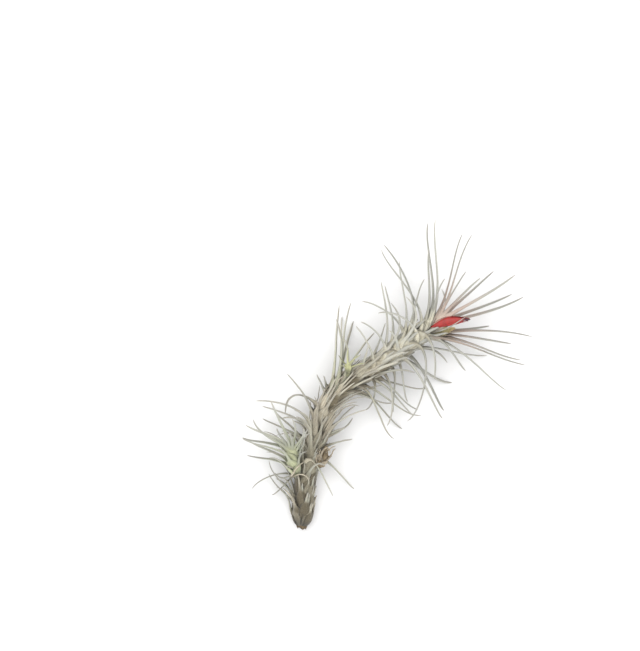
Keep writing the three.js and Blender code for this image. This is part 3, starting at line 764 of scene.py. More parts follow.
@dataclass
class LeafForm:
    """The Geometry Nodes tree that turns one vertex for each leaf into whole leaves.

    A leaf is a channelled blade on a broad thin sheath. Its section lies on a circle: wide and
    nearly as round as the stem in the sheath, narrow and deep in the blade.
    """

    corners: int = 12
    rings: int = 26
    sheath_share: float = 0.34
    sheath_width: float = 3.4
    blade_curl: float = 0.5
    curl_span: tuple[float, float] = (0.27, 0.5)
    thickness: float = 0.3
    lowest: float = 0.02
    wave_along: float = 3.0
    wave_apart: float = 97.0
    wave_scale: float = 1.6
    wave_span: tuple[float, float] = (0.2, 0.8)
    seed: float = 11.0
    widths: Pairs = (
        (0, 0.47), (0.1, 0.88), (0.19, 1), (0.28, 0.86), (0.34, 0.56), (0.41, 0.3), (0.52, 0.195),
        (0.66, 0.155), (0.8, 0.13), (0.92, 0.1), (0.98, 0.065), (1, 0.03),
    )
    thicknesses: Pairs = (
        (0, 0.4), (0.2, 0.42), (0.3, 0.55), (0.42, 0.95), (0.52, 1), (0.8, 0.92), (0.94, 0.74),
        (0.985, 0.5), (1, 0.2),
    )

    def build(self) -> bpy.types.NodeTree:
        """Builds the tree.

        Returns:
            The tree. It makes the instances real before it shapes them, and ends in Set Material.
        """
        tree = bpy.data.node_groups.new("leaf_form", "GeometryNodeTree")
        self.maker = Maker(tree)
        sockets = tree.interface
        sockets.new_socket("Leaves", in_out="INPUT", socket_type="NodeSocketGeometry")
        wanted = (
            ("Corners", "NodeSocketInt", self.corners),
            ("Rings", "NodeSocketInt", self.rings),
            ("Sheath Share", "NodeSocketFloat", self.sheath_share),
            ("Sheath Width", "NodeSocketFloat", self.sheath_width * MILLIMETRE),
            ("Blade Curl Radius", "NodeSocketFloat", self.blade_curl * MILLIMETRE),
            ("Thickness", "NodeSocketFloat", self.thickness * MILLIMETRE),
            ("Wave Size", "NodeSocketFloat", MILLIMETRE),
            ("Lowest", "NodeSocketFloat", self.lowest * MILLIMETRE),
            ("Seed", "NodeSocketFloat", self.seed),
        )
        for name, kind, value in wanted:
            sockets.new_socket(name, in_out="INPUT", socket_type=kind).default_value = value
        sockets.new_socket("Finish", in_out="INPUT", socket_type="NodeSocketMaterial")
        sockets.new_socket("Leaves", in_out="OUTPUT", socket_type="NodeSocketGeometry")
        self.given = self.maker.node("NodeGroupInput").outputs
        leaves = self._shaped(self._instanced(self._blank()))
        smooth = self.maker.node("GeometryNodeSetShadeSmooth")
        self.maker.feed(smooth.inputs["Geometry"], leaves)
        finish = self.maker.node("GeometryNodeSetMaterial")
        self.maker.feed(finish.inputs["Geometry"], smooth.outputs[0])
        self.maker.feed(finish.inputs["Material"], self.given["Finish"])
        out = self.maker.node("NodeGroupOutput")
        self.maker.feed(out.inputs[0], finish.outputs[0])
        return tree

    def _kept(
        self, geometry: bpy.types.NodeSocket, name: str, kind: str, value: object,
        domain: str = "POINT",
    ) -> bpy.types.NodeSocket:
        """Keeps a value on the geometry under a name.

        Args:
            geometry: the geometry.
            name: the name.
            kind: the value's type.
            value: the value.
            domain: what each value belongs to.

        Returns:
            The geometry with the value on it.
        """
        made = self.maker.node("GeometryNodeStoreNamedAttribute", data_type=kind, domain=domain)
        self.maker.feed(made.inputs["Geometry"], geometry)
        made.inputs["Name"].default_value = name
        self.maker.feed(made.inputs["Value"], value)
        return made.outputs[0]

    def _read(self, name: str, kind: str = "FLOAT") -> bpy.types.NodeSocket:
        """Reads a named value.

        Args:
            name: the name.
            kind: the value's type.

        Returns:
            The value's socket.
        """
        made = self.maker.node("GeometryNodeInputNamedAttribute", data_type=kind)
        made.inputs["Name"].default_value = name
        return made.outputs["Attribute"]

    def _curve(self, place: object, pairs: Pairs) -> bpy.types.NodeSocket:
        """Reads a smooth curve through pairs.

        Args:
            place: where to read.
            pairs: the places, in order, with their values.

        Returns:
            The value's socket.
        """
        made = self.maker.node("ShaderNodeFloatCurve")
        self.maker.feed(made.inputs["Value"], place)
        line = made.mapping.curves[0]
        line.points[0].location, line.points[1].location = pairs[0], pairs[-1]
        for pair in pairs[1:-1]:
            line.points.new(*pair)
        made.mapping.update()
        return made.outputs[0]

    def _blank(self) -> bpy.types.NodeSocket:
        """Makes the blank of a leaf.

        Returns:
            A closed tube, with its places along, around and through the leaf kept on it.
        """
        maker = self.maker
        tube = maker.node("GeometryNodeMeshCylinder", fill_type="NGON")
        maker.feed(tube.inputs["Vertices"], self.given["Corners"])
        maker.feed(tube.inputs["Side Segments"], self.given["Rings"])
        maker.feed(tube.inputs["Radius"], 1.0)
        maker.feed(tube.inputs["Depth"], 1.0)
        kept = self._kept(tube.outputs["Mesh"], "UVMap", "FLOAT2", tube.outputs["UV Map"], "CORNER")
        x, y, z = maker.parts(maker.node("GeometryNodeInputPosition").outputs[0])
        kept = self._kept(kept, "along", "FLOAT", maker.math("ADD", z, 0.5))
        kept = self._kept(kept, "around", "FLOAT", x)
        return self._kept(kept, "section", "FLOAT", y)

    def _instanced(self, blank: bpy.types.NodeSocket) -> bpy.types.NodeSocket:
        """Sets the blank on each vertex that stands for a leaf.

        Args:
            blank: the blank of a leaf.

        Returns:
            The blanks as real geometry, with what each vertex knew on every point.
        """
        points = self.maker.node("GeometryNodeInstanceOnPoints")
        self.maker.feed(points.inputs["Points"], self.given["Leaves"])
        self.maker.feed(points.inputs["Instance"], blank)
        real = self.maker.node("GeometryNodeRealizeInstances")
        self.maker.feed(real.inputs[0], points.outputs[0])
        return real.outputs[0]

    def _share(self, along: bpy.types.NodeSocket) -> bpy.types.NodeSocket:
        """Finds the share of the leaf's curve at a place along the blank.

        Args:
            along: the place, from 0 at the root to 1 at the tip.

        Returns:
            The share. The sheath takes the blank up to its own share, the blade the rest.
        """
        maker, leave = self.maker, self._read("leave_share")
        sheath = maker.math("DIVIDE", along, self.given["Sheath Share"])
        blade = maker.math(
            "DIVIDE",
            maker.math("SUBTRACT", along, self.given["Sheath Share"]),
            maker.math("SUBTRACT", 1.0, self.given["Sheath Share"]),
        )
        low = maker.product(maker.math("MINIMUM", sheath, 1.0), leave)
        high = maker.product(maker.math("MAXIMUM", blade, 0.0), maker.math("SUBTRACT", 1.0, leave))
        return maker.math("ADD", low, high)

    def _shaped(self, blanks: bpy.types.NodeSocket) -> bpy.types.NodeSocket:
        """Bends every blank to its leaf's curve and section.

        Args:
            blanks: the blanks, as real geometry.

        Returns:
            The leaves, with how far in each point looks kept on them.
        """
        maker, given = self.maker, self.given
        along, around, section = self._read("along"), self._read("around"), self._read("section")
        share = self._share(along)
        # the place on the curve and the way there, by mixing its four places down to two
        row = [self._read(name, "FLOAT_VECTOR") for name in LEAF_PLACES]
        while len(row) > 2:
            row = [maker.mix("VECTOR", share, a, b) for a, b in zip(row, row[1:])]
        centre = maker.mix("VECTOR", share, *row)
        tangent = maker.vector("NORMALIZE", maker.vector("SUBTRACT", row[1], row[0]))
        side = maker.mix(
            "VECTOR", share,
            self._read("side_root", "FLOAT_VECTOR"), self._read("side_tip", "FLOAT_VECTOR"),
        )
        slip = maker.vector("SCALE", tangent, maker.vector("DOT_PRODUCT", side, tangent))
        side = maker.vector("NORMALIZE", maker.vector("SUBTRACT", side, slip))
        turn = maker.node("ShaderNodeVectorRotate", rotation_type="AXIS_ANGLE")
        maker.feed(turn.inputs["Vector"], side)
        maker.feed(turn.inputs["Axis"], tangent)
        twist = maker.product(self._read("twist"), maker.ease(along, self.sheath_share, 1.0))
        maker.feed(turn.inputs["Angle"], twist)
        side = turn.outputs[0]
        outward = maker.vector("CROSS_PRODUCT", side, tangent)
        # the section: its half width and thickness, on a circle that tightens in the blade
        breadth = self._read("breadth")
        half = maker.product(self._curve(along, self.widths), given["Sheath Width"], breadth)
        thick = maker.product(
            self._curve(along, self.thicknesses), given["Thickness"], maker.math("SQRT", breadth),
        )
        sheath_bend = maker.math("DIVIDE", 1.0, self._read("wrap"))
        blade_bend = maker.math("DIVIDE", 1.0, maker.product(given["Blade Curl Radius"], breadth))
        bend = maker.mix("FLOAT", maker.ease(along, *self.curl_span), sheath_bend, blade_bend)
        radius = maker.math("DIVIDE", 1.0, bend)
        angle = maker.product(around, half, bend)
        reach = maker.line(section, thick, radius)
        across = maker.product(reach, maker.math("SINE", angle))
        out = maker.math("SUBTRACT", maker.product(reach, maker.math("COSINE", angle)), radius)
        place = maker.vector("ADD", centre, maker.vector("SCALE", side, across))
        place = maker.vector("ADD", place, maker.vector("SCALE", outward, out))
        # a slow wander of the whole section, more in a dry leaf and none at its root
        at = maker.combine(
            maker.product(along, self.wave_along), maker.product(self._read("tint"), self.wave_apart),
            given["Seed"],
        )
        wander = maker.noise(at, self.wave_scale, 1.0, colour=True)
        wander = maker.vector("SUBTRACT", wander, (0.5, 0.5, 0.5))
        amount = maker.product(
            self._read("wave"), given["Wave Size"], maker.ease(along, *self.wave_span),
        )
        place = maker.vector("ADD", place, maker.vector("SCALE", wander, amount))
        x, y, z = maker.parts(place)
        height = maker.math("MAXIMUM", z, given["Lowest"])
        moved = maker.node("GeometryNodeSetPosition")
        maker.feed(moved.inputs["Geometry"], blanks)
        maker.feed(moved.inputs["Position"], maker.combine(x, y, height))
        inner = maker.ease(section, 0.15, -0.35)
        return self._kept(moved.outputs[0], "inner", "FLOAT", inner)

    def grow(
        self, name: str, leaves: Sequence[Leaf], finish: bpy.types.Material,
        rings: int | None = None,
    ) -> bpy.types.Object:
        """Grows leaves into one plain mesh.

        Args:
            name: the piece's name.
            leaves: the leaves.
            finish: its material.
            rings: the faces along a leaf, where they aren't the form's own number.

        Returns:
            The object, with no modifier left on it.
        """
        seeds = bpy.data.meshes.new(name + "_seeds")
        seeds.from_pydata([tuple(in_frame(leaf.root)) for leaf in leaves], [], [])
        vectors = {key: [in_frame(getattr(leaf, key)) for leaf in leaves] for key in LEAF_PLACES}
        vectors["side_root"] = [leaf.side for leaf in leaves]
        vectors["side_tip"] = [leaf.side_at_tip() for leaf in leaves]
        for key, rows in vectors.items():
            kept = seeds.attributes.new(key, "FLOAT_VECTOR", "POINT")
            kept.data.foreach_set("vector", np.array(rows, np.float32).ravel())
        for key in LEAF_NUMBERS:
            unit_size = MILLIMETRE if key == "wrap" else 1.0
            kept = seeds.attributes.new(key, "FLOAT", "POINT")
            kept.data.foreach_set("value", [getattr(leaf, key) * unit_size for leaf in leaves])
        holder = bpy.data.objects.new(name + "_seeds", seeds)
        bpy.context.scene.collection.objects.link(holder)
        tree = bpy.data.node_groups.get("leaf_form") or self.build()
        modifier = holder.modifiers.new("leaves", "NODES")
        modifier.node_group = tree
        wanted = {"Rings": rings or self.rings, "Finish": finish}
        for item in tree.interface.items_tree:
            if item.in_out == "INPUT" and item.name in wanted:
                modifier[item.identifier] = wanted[item.name]
        return baked(holder, name)


def baked(holder: bpy.types.Object, name: str) -> bpy.types.Object:
    """Turns an object with live modifiers into one with a plain mesh.

    Args:
        holder: the object, which is removed.
        name: the name of the plain one.

    Returns:
        The plain object, at the origin.
    """
    bpy.context.view_layer.update()
    seen = holder.evaluated_get(bpy.context.evaluated_depsgraph_get())
    mesh = bpy.data.meshes.new_from_object(seen)
    mesh.name = name
    made = bpy.data.objects.new(name, mesh)
    bpy.context.scene.collection.objects.link(made)
    bpy.data.objects.remove(holder)
    for key in SHAPE_ONLY:
        if key in mesh.attributes:
            mesh.attributes.remove(mesh.attributes[key])
    return made


def mesh_object(
    name: str, places: np.ndarray, faces: Sequence[Sequence[int]], finish: bpy.types.Material,
    numbers: dict[str, Sequence[float]],
) -> bpy.types.Object:
    """Makes a smooth mesh object.

    Args:
        name: the piece's name.
        places: its points in plan, in millimetres.
        faces: its faces, by the numbers of their points.
        finish: its material.
        numbers: a value for each point, by the name of the attribute that keeps it.

    Returns:
        The object.
    """
    mesh = bpy.data.meshes.new(name)
    mesh.from_pydata([tuple(place) for place in in_frame(places)], [], [tuple(f) for f in faces])
    for key, values in numbers.items():
        kept = mesh.attributes.new(key, "FLOAT", "POINT")
        kept.data.foreach_set("value", np.asarray(values, np.float32))
    mesh.polygons.foreach_set("use_smooth", [True] * len(mesh.polygons))
    mesh.materials.append(finish)
    mesh.update()
    made = bpy.data.objects.new(name, mesh)
    bpy.context.scene.collection.objects.link(made)
    return made


def grid_faces(rows: int, columns: int, closed: bool) -> list[tuple[int, int, int, int]]:
    """Lists the faces of a grid of points.

    Args:
        rows: how many rows it has.
        columns: how many points a row has.
        closed: whether a row's last point joins its first.

    Returns:
        The faces.
    """
    across = columns if closed else columns - 1
    return [
        (
            row * columns + column, row * columns + (column + 1) % columns,
            (row + 1) * columns + (column + 1) % columns, (row + 1) * columns + column,
        )
        for row in range(rows - 1)
        for column in range(across)
    ]


def tube(rings: np.ndarray) -> tuple[np.ndarray, list[tuple[int, ...]]]:
    """Closes a row of rings into a tube.

    Args:
        rings: the rings' points, by ring and corner, each ring turning left about the way on.

    Returns:
        The points and the faces.
    """
    count, corners = rings.shape[:2]
    faces: list[tuple[int, ...]] = list(grid_faces(count, corners, True))
    faces.append(tuple(range(corners - 1, -1, -1)))
    faces.append(tuple(range((count - 1) * corners, count * corners)))
    return rings.reshape(-1, 3), faces


def rolled_sheet(
    name: str, shoot: Shoot, grid: tuple[int, int], thickness: float, least: float,
    section: Callable[[float, float], tuple[float, float, float]], finish: bpy.types.Material,
) -> bpy.types.Object:
    """Rolls a thin, closed sheet round an axis.

    Args:
        name: the piece's name.
        shoot: the axis.
        grid: how many rows of points it has, and how many points a row has.
        thickness: how thick it is in its middle; it thins out to its two edges.
        least: how near to the axis its points may come.
        section: gives, for a share of the length and a place across from -1 to 1, the distance
            along the axis, the bearing round it and the outer face's radius.
        finish: its material.

    Returns:
        The sheet, with its places along and around kept on it.
    """
    rows, columns = grid
    rings, along, around = [], [], []
    for row in range(rows):
        part = row / (rows - 1)
        outer, inner, acrosses = [], [], []
        for column in range(columns):
            across = 2 * column / (columns - 1) - 1
            distance, turn, radius = section(part, across)
            depth = thickness * math.sqrt(max(0.02, 1 - across**2))
            outer.append(shoot.beside(distance, turn, max(least, radius)))
            inner.append(shoot.beside(distance, turn, max(least, radius - depth)))
            acrosses.append(across)
        rings.append(outer + inner[::-1])
        along += [part] * (2 * columns)
        around += acrosses + acrosses[::-1]
    places, faces = tube(np.array(rings))
    return mesh_object(name, places, faces, finish, {"along": along, "around": around})


@dataclass(frozen=True)
class RoughCore:
    """A closed, fibrous core round an axis: its corners stand out by differing amounts.

    The corners' radius is a share of the core's own, made up of a base, a seeded ridge and a
    ripple along the core.
    """

    radii: Pairs
    corners: int
    base: float
    ridge: float
    ripple: float
    pitch: float
    phase: float
    ragged: float = 0.0
    lowest: float = -math.inf

    def build(
        self, name: str, shoot: Shoot, steps: int, draw: Iterator[float], finish: bpy.types.Material,
    ) -> bpy.types.Object:
        """Builds the core.

        Args:
            name: the piece's name.
            shoot: its axis.
            steps: the faces along it.
            draw: where its ridges are drawn from.
            finish: its material.

        Returns:
            The core, with its places along and around kept on it.
        """
        ridges = [next(draw) for _ in range(self.corners)]
        rings, along, around = [], [], []
        for step in range(steps + 1):
            distance = shoot.length * step / steps
            radius = value_at(self.radii, distance)
            ring = []
            for corner, ridge in enumerate(ridges):
                bearing = 2 * math.pi * corner / self.corners
                rough = self.base + self.ridge * ridge
                rough += self.ripple * math.sin(self.pitch * distance + self.phase * ridge)
                # the first end is broken off, so its fibres end at different lengths
                back = self.ragged * ridges[(corner * 5) % self.corners] if step == 0 else 0.0
                place = shoot.beside(distance + back, bearing, radius * rough)
                place[2] = max(place[2], self.lowest)
                ring.append(place)
                along.append(step / steps)
                around.append(math.cos(bearing))
            rings.append(ring)
        places, faces = tube(np.array(rings))
        return mesh_object(name, places, faces, finish, {"along": along, "around": around})


# Finishes

def empty_finish(name: str) -> tuple[bpy.types.Material, Maker]:
    """Makes a material with no nodes yet.

    Args:
        name: its name.

    Returns:
        The material, and the maker that adds its nodes.
    """
    made = bpy.data.materials.new(name)
    made.use_nodes = True
    made.node_tree.nodes.clear()
    return made, Maker(made.node_tree)


def closed_finish(
    maker: Maker, colour: object, roughness: object, height: object, bump: tuple[float, float],
    **weights: float,
) -> None:
    """Ends a material with its surface.

    Args:
        maker: the material's maker.
        colour: the surface's colour.
        roughness: its roughness.
        height: the height that its bumps follow.
        bump: how strong the bumps are, and how high in millimetres.
        weights: other inputs of the surface, with _ for a space in their names.
    """
    bumps = maker.node("ShaderNodeBump")
    bumps.inputs["Strength"].default_value = bump[0]
    bumps.inputs["Distance"].default_value = bump[1] * MILLIMETRE
    maker.feed(bumps.inputs["Height"], height)
    surface = maker.node("ShaderNodeBsdfPrincipled")
    maker.feed(surface.inputs["Base Color"], colour)
    maker.feed(surface.inputs["Roughness"], roughness)
    maker.feed(surface.inputs["Normal"], bumps.outputs[0])
    for socket, weight in weights.items():
        surface.inputs[socket.replace("_", " ")].default_value = weight
    out = maker.node("ShaderNodeOutputMaterial")
    maker.feed(out.inputs[0], surface.outputs[0])


@dataclass(frozen=True)
class LeafFinish:
    """The finish of grey, scurfy leaves, from living to dry."""

    name: str
    sheath: str = "D3CEBA"
    sheath_shade: str = "B0AA93"
    blade: str = "B4B4AC"
    blade_shade: str = "8F8F86"
    dry_light: str = "C6BDA8"
    dry_dark: str = "7B6F5B"
    green: str = "A2A98B"
    blush: str = "AE978B"
    tip: str = "A29E94"
    scurf: str = "EAE8DC"
    # the brown of a real stain, which also serves as painted shade
    stain_and_shade: str = "574E39"
    scurf_share: float = 0.5
    bump: float = 0.5
    # how dark the margins and the base of a sheath are: in part brown of their own, in part painted
    # shade
    margin_brown_and_shade: float = 0.45
    base_brown_and_shade: float = 0.6

    # how fine the fibres are round and along a leaf, and how far they differ from leaf to leaf
    FIBRES = (3.2, 1.1, 61.0)
    # how fine the patches and the scurf are on the plant
    PATCHES = 700.0
    SCURF_GRAIN = 6500.0
    # spans along a leaf from its root to its tip: what grows and fades over them
    BLADE_BEGINS = (0.27, 0.46)
    GREEN_FADES = (0.95, 0.3)
    BLUSH_BEGINS = (0.05, 0.3)
    BLUSH_FADES = (0.8, 0.42)
    TIP_BEGINS = (0.86, 1.0)
    STAIN_AND_SHADE_FADES = (0.56, 0.3)
    BASE_FADES = (0.22, 0.04)
    # the span across a leaf of its brown margin, which also carries painted shade
    MARGIN_BEGINS = (0.62, 1.0)

    def material(self) -> bpy.types.Material:
        """Builds the material.

        Returns:
            The material, which reads the leaf's own attributes and object coordinates.
        """
        made, maker = empty_finish(self.name)
        value = {
            item: maker.node("ShaderNodeAttribute", attribute_name=item.value).outputs["Fac"]
            for item in LeafData
        }
        along, around, tint = value[LeafData.ALONG], value[LeafData.AROUND], value[LeafData.TINT]
        place = maker.node("ShaderNodeTexCoord").outputs["Object"]
        ways = [maker.product(*pair) for pair in zip((around, along, tint), self.FIBRES)]
        fibre = maker.noise(maker.combine(*ways), 4.0, 4.0)
        patch = maker.noise(place, self.PATCHES, 3.0)
        scurf = maker.ease(maker.noise(place, self.SCURF_GRAIN, 2.0), 0.5, 0.68)
        blade = maker.ease(along, *self.BLADE_BEGINS)
        # living colours, by the place along the leaf
        sheath = maker.blend(maker.ease(patch, 0.35, 0.65), self.sheath, self.sheath_shade)
        slim = maker.blend(maker.ease(fibre, 0.35, 0.65), self.blade, self.blade_shade)
        living = maker.blend(blade, sheath, slim)
        greened = maker.product(value[LeafData.GREEN], maker.ease(along, *self.GREEN_FADES))
        living = maker.blend(greened, living, self.green)
        bloom = maker.product(
            maker.ease(along, *self.BLUSH_BEGINS), maker.ease(along, *self.BLUSH_FADES),
        )
        living = maker.blend(maker.product(value[LeafData.BLUSH], bloom), living, self.blush)
        # dry colours, in streaks along the fibres
        dry = maker.blend(maker.ease(fibre, 0.3, 0.68), self.dry_dark, self.dry_light)
        dryness = maker.mix("FLOAT", blade, value[LeafData.DRY_SHEATH], value[LeafData.DRY_BLADE])
        spread = maker.product(maker.math("SUBTRACT", patch, 0.5), 0.9, maker.ease(dryness, 0.0, 0.2))
        colour = maker.blend(maker.math("ADD", dryness, spread, clamp=True), living, dry)
        at_tip = maker.product(maker.ease(along, *self.TIP_BEGINS), 0.7)
        colour = maker.blend(at_tip, colour, self.tip)
        # the sheath turns brown: a real stain at the foot, and painted shade on the low, right side of
        # the stem and in the hollow of the bend
        stain_and_shade_share = maker.product(value[LeafData.STAIN_AND_SHADE], maker.ease(along, *self.STAIN_AND_SHADE_FADES))
        colour = maker.blend(stain_and_shade_share, colour, self.stain_and_shade)
        # scurf lies thickest on the living sheath and thins out along the blade
        cover = maker.mix("FLOAT", blade, self.scurf_share, self.scurf_share * 0.6)
        cover = maker.product(maker.product(scurf, cover), maker.line(stain_and_shade_share, -0.7, 1.0))
        colour = maker.blend(cover, colour, self.scurf)
        # the margins of a sheath are thin and brown and carry painted shade, and its base, brown in
        # part, is darkened with painted shade where it comes out from under the sheaths over it
        margin = maker.ease(maker.math("ABSOLUTE", around), *self.MARGIN_BEGINS)
        margin = maker.product(margin, maker.math("SUBTRACT", 1.0, blade))
        shade = maker.product(
            maker.line(fibre, 0.5, 0.72),
            maker.line(tint, 0.4, 0.8),
            maker.line(value[LeafData.INNER], -0.22, 1.0),
            maker.line(margin, -self.margin_brown_and_shade, 1.0),
            maker.line(maker.ease(along, *self.BASE_FADES), -self.base_brown_and_shade, 1.0),
        )
        closed_finish(
            maker, maker.vector("SCALE", colour, shade), maker.line(scurf, 0.2, 0.66),
            maker.line(fibre, 1.6, maker.product(scurf, 0.5)), (self.bump, 0.06),
            Sheen_Weight=0.18, Sheen_Roughness=0.5, Specular_IOR_Level=0.3,
        )
        return made


@dataclass(frozen=True)
class TissueFinish:
    """The finish of a piece with veins or fibres lengthwise: petals, bracts and bark."""

    name: str
    light: str
    dark: str
    end: str
    end_from: float = 0.85
    end_share: float = 1.0
    fibres: float = 9.0
    roughness: float = 0.5
    bump: float = 0.35
    sheen: float = 0.0

    # how fine the fibres are along the piece, and the patches on the plant
    FIBRES_ALONG = 1.4
    PATCHES = 900.0

    def material(self) -> bpy.types.Material:
        """Builds the material.

        Returns:
            The material, which reads the piece's own attributes and object coordinates.
        """
        made, maker = empty_finish(self.name)
        along, around = (
            maker.node("ShaderNodeAttribute", attribute_name=item.value).outputs["Fac"]
            for item in (LeafData.ALONG, LeafData.AROUND)
        )
        place = maker.node("ShaderNodeTexCoord").outputs["Object"]
        ways = maker.product(around, self.fibres), maker.product(along, self.FIBRES_ALONG), 0.0
        fibre = maker.noise(maker.combine(*ways), 2.0, 3.0)
        patch = maker.noise(place, self.PATCHES, 3.0)
        blend = maker.line(patch, 0.45, maker.line(fibre, 0.9, -0.18))
        colour = maker.blend(maker.ease(blend, 0.28, 0.75), self.dark, self.light)
        at_end = maker.product(maker.ease(along, self.end_from, 1.0), self.end_share)
        closed_finish(
            maker, maker.blend(at_end, colour, self.end), maker.line(patch, 0.2, self.roughness - 0.1),
            maker.line(fibre, 1.5, maker.product(patch, 0.6)), (self.bump, 0.08),
            Sheen_Weight=self.sheen,
        )
        return made


LEAF_FORM = LeafForm()


def dressed(piece: bpy.types.Object, node: str) -> None:
    """Lets a piece stand for a node of the part.

    Args:
        piece: the finished piece.
        node: the node, which is hidden.
    """
    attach(piece, "root")
    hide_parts(node)
    faces = sum(len(face.vertices) - 2 for face in piece.data.polygons)
    log.info("%s stands for %s with %d triangles", piece.name, node, faces)


# The plant's pieces

@dataclass
class LeafyStem:
    """The grown shoot: its fibrous core, its dry sheaths and its grey leaves."""

    sheath: float = 8.0
    wrap: float = 4.0
    core_step: float = 0.8
    core_share: float = 0.84
    dry_span: Pairs = (
        (0, 0.75), (10, 0.55), (16, 0.5), (22, 0.75), (30, 0.95), (50, 0.92), (58, 0.6), (64, 0.28),
        (70, 0.1), (80, 0.03), (90, 0),
    )
    # the brown of a sheath on the high side of the stem and on its low, right side, by the distance
    # from the foot: a real stain at the foot, and painted shade on the low side and in the hollow of
    # the bend
    stain_and_shade_high: Pairs = (
        (0, 1), (16, 1), (22, 0.2), (40, 0.05), (48, 0.3), (60, 0.22), (70, 0.02), (90, 0),
    )
    stain_and_shade_low: Pairs = (
        (0, 1), (18, 0.95), (28, 0.45), (38, 0.6), (42, 0.95), (58, 0.9), (66, 0.55), (84, 0.35),
    )
    strap_span: Pairs = ((0, 0.6), (14, 0.7), (24, 1), (50, 1), (58, 0))
    marked_blade_share: float = 0.35
    # how much darker the scales under the leaves are: painted shade
    scale_painted_shade: float = 0.6
    foot_tint: float = 0.3
    # what is drawn: the least and what is drawn on top
    dryness_varies: tuple[float, float] = (0.75, 0.5)
    blade_varies: tuple[float, float] = (0.4, 0.6)
    pale_varies: tuple[float, float] = (0.4, 0.6)
    strap_varies: tuple[float, float] = (0.3, 0.4)
    stain_and_shade_varies: tuple[float, float] = (0.6, 0.8)
    twist: float = 0.9
    # distances of a leaf's root from the foot
    foot_to: float = 16.0
    dry_from: float = 24.0
    dry_to: float = 54.0
    pale_from: float = 62.0
    # green shows at the foot and round the end of the bend
    green: float = 0.4
    green_until: float = 28.0
    green_at: float = 50.0
    green_within: float = 14.0
    # how the low side's stain and painted shade grow from the left of the axis to its right, by
    # millimetres
    low_at_axis: float = 0.4
    low_by_side: float = 0.3
    # the leaves round the flower, in plan
    blush_from: float = 40.4
    blush_above: float = -4.9
    spiral: Spiral = Spiral(
        seed=7, count=122, begins=-3, ends=87.5, jitter=11, sheath=8, wrap=4, radii=STEM_RADIUS,
        lift=[(0, 40), (20, 58), (27, 30), (34, 12), (52, 12), (60, 16), (78, 18), (88, 16)],
        reach=[(0, 9), (12, 15), (25, 12), (33, 7), (52, 8), (60, 8), (78, 9), (88, 8)],
        swing=26, marked_from=14, marked_share=0.62, open_from=76, pressed_until=26, free_from=54,
    )
    scales: Spiral = Spiral(
        seed=19, count=112, begins=-2, ends=84, jitter=16, sheath=7, wrap=3.75, radii=STEM_RADIUS,
        lift=[(0, 8), (20, 10), (34, 6), (84, 6)],
        reach=[(0, 4), (20, 5), (34, 8), (52, 8), (60, 5), (84, 5)],
        swing=8,
    )

    def build(self) -> None:
        """Builds and dresses the core and the two groups of leaves."""
        self.shoot = Shoot(STEM_AXIS)
        self.draw = seeded_draws(41)
        living, dry = self._sorted_leaves()
        grey = LeafFinish("grey_leaf").material()
        tan = LeafFinish(
            "dry_sheath", scurf_share=0.4, bump=0.8, margin_brown_and_shade=0.45, base_brown_and_shade=0.5,
        ).material()
        for piece in (
            self._core(),
            LEAF_FORM.grow("grey_leaves", living, grey),
            LEAF_FORM.grow("dry_leaves", dry, tan, rings=20),
        ):
            dressed(piece, "leafy_stem")

    def _marked(self, row: Sequence[float], blade_share: float) -> Leaf:
        """Grows one marked leaf of the stem and gives it its age.

        Args:
            row: the leaf's marked places.
            blade_share: how far the blade dries with the sheath.

        Returns:
            The leaf.
        """
        leaf = marked_leaf(self.shoot, STEM_RADIUS, self.sheath, self.wrap, row)
        self._age(leaf, blade_share)
        return leaf

    def _sorted_leaves(self) -> tuple[list[Leaf], list[Leaf]]:
        """Grows every leaf and sorts the living from the dry.

        Returns:
            The living leaves and the dry ones.
        """
        rows = [*FOOT_LEFT, *FOOT_RIGHT, *BEND_LEFT, *CROWN_LEFT, *CROWN_RIGHT, *BEND_RIGHT]
        living = [self._marked(row, self.marked_blade_share) for row in rows]
        for row, leaf in zip(rows, living):
            self._set_apart(row, leaf)
        dry = [self._marked(row, 1.0) for row in BEND_INSIDE]
        slim = loose_leaf(FLOWER_LEAF)
        slim.breadth, slim.wrap, slim.tint = 0.55, 1.4, 0.5
        living.append(slim)
        for leaf in self.spiral.leaves(self.shoot):
            self._age(leaf, 1.0)
            (dry if self.dry_from < leaf.distance < self.dry_to else living).append(leaf)
        for leaf in self.scales.leaves(self.shoot):
            self._age(leaf, 1.0)
            # the scales lie under the leaves, so they are darkened with painted shade
            leaf.tint *= self.scale_painted_shade
            dry.append(leaf)
        for leaf in [*dry, *(leaf for leaf in living if leaf.distance < self.foot_to)]:
            narrow = value_at(self.strap_span, leaf.distance)
            leaf.breadth *= 1 - narrow * varied(self.draw, *self.strap_varies)
        for leaf in [*dry, *living]:
            self._stain_and_shade(leaf)
        # the last leaf at the right of the foot is a dry strap that folds over its slim sheath
        folded = living[len(FOOT_LEFT) + len(FOOT_RIGHT) - 1]
        folded.breadth, folded.stain_and_shade, folded.dry_sheath, folded.tint = 0.7, 0.0, 0.8, 1.0
        for places in DRY_CURLS:
            leaf = loose_leaf(places)
            leaf.breadth, leaf.wrap, leaf.dry_sheath, leaf.dry_blade = 0.42, 1.6, 1.0, 1.0
            leaf.tint = 0.8
            dry.append(leaf)
        return living, dry

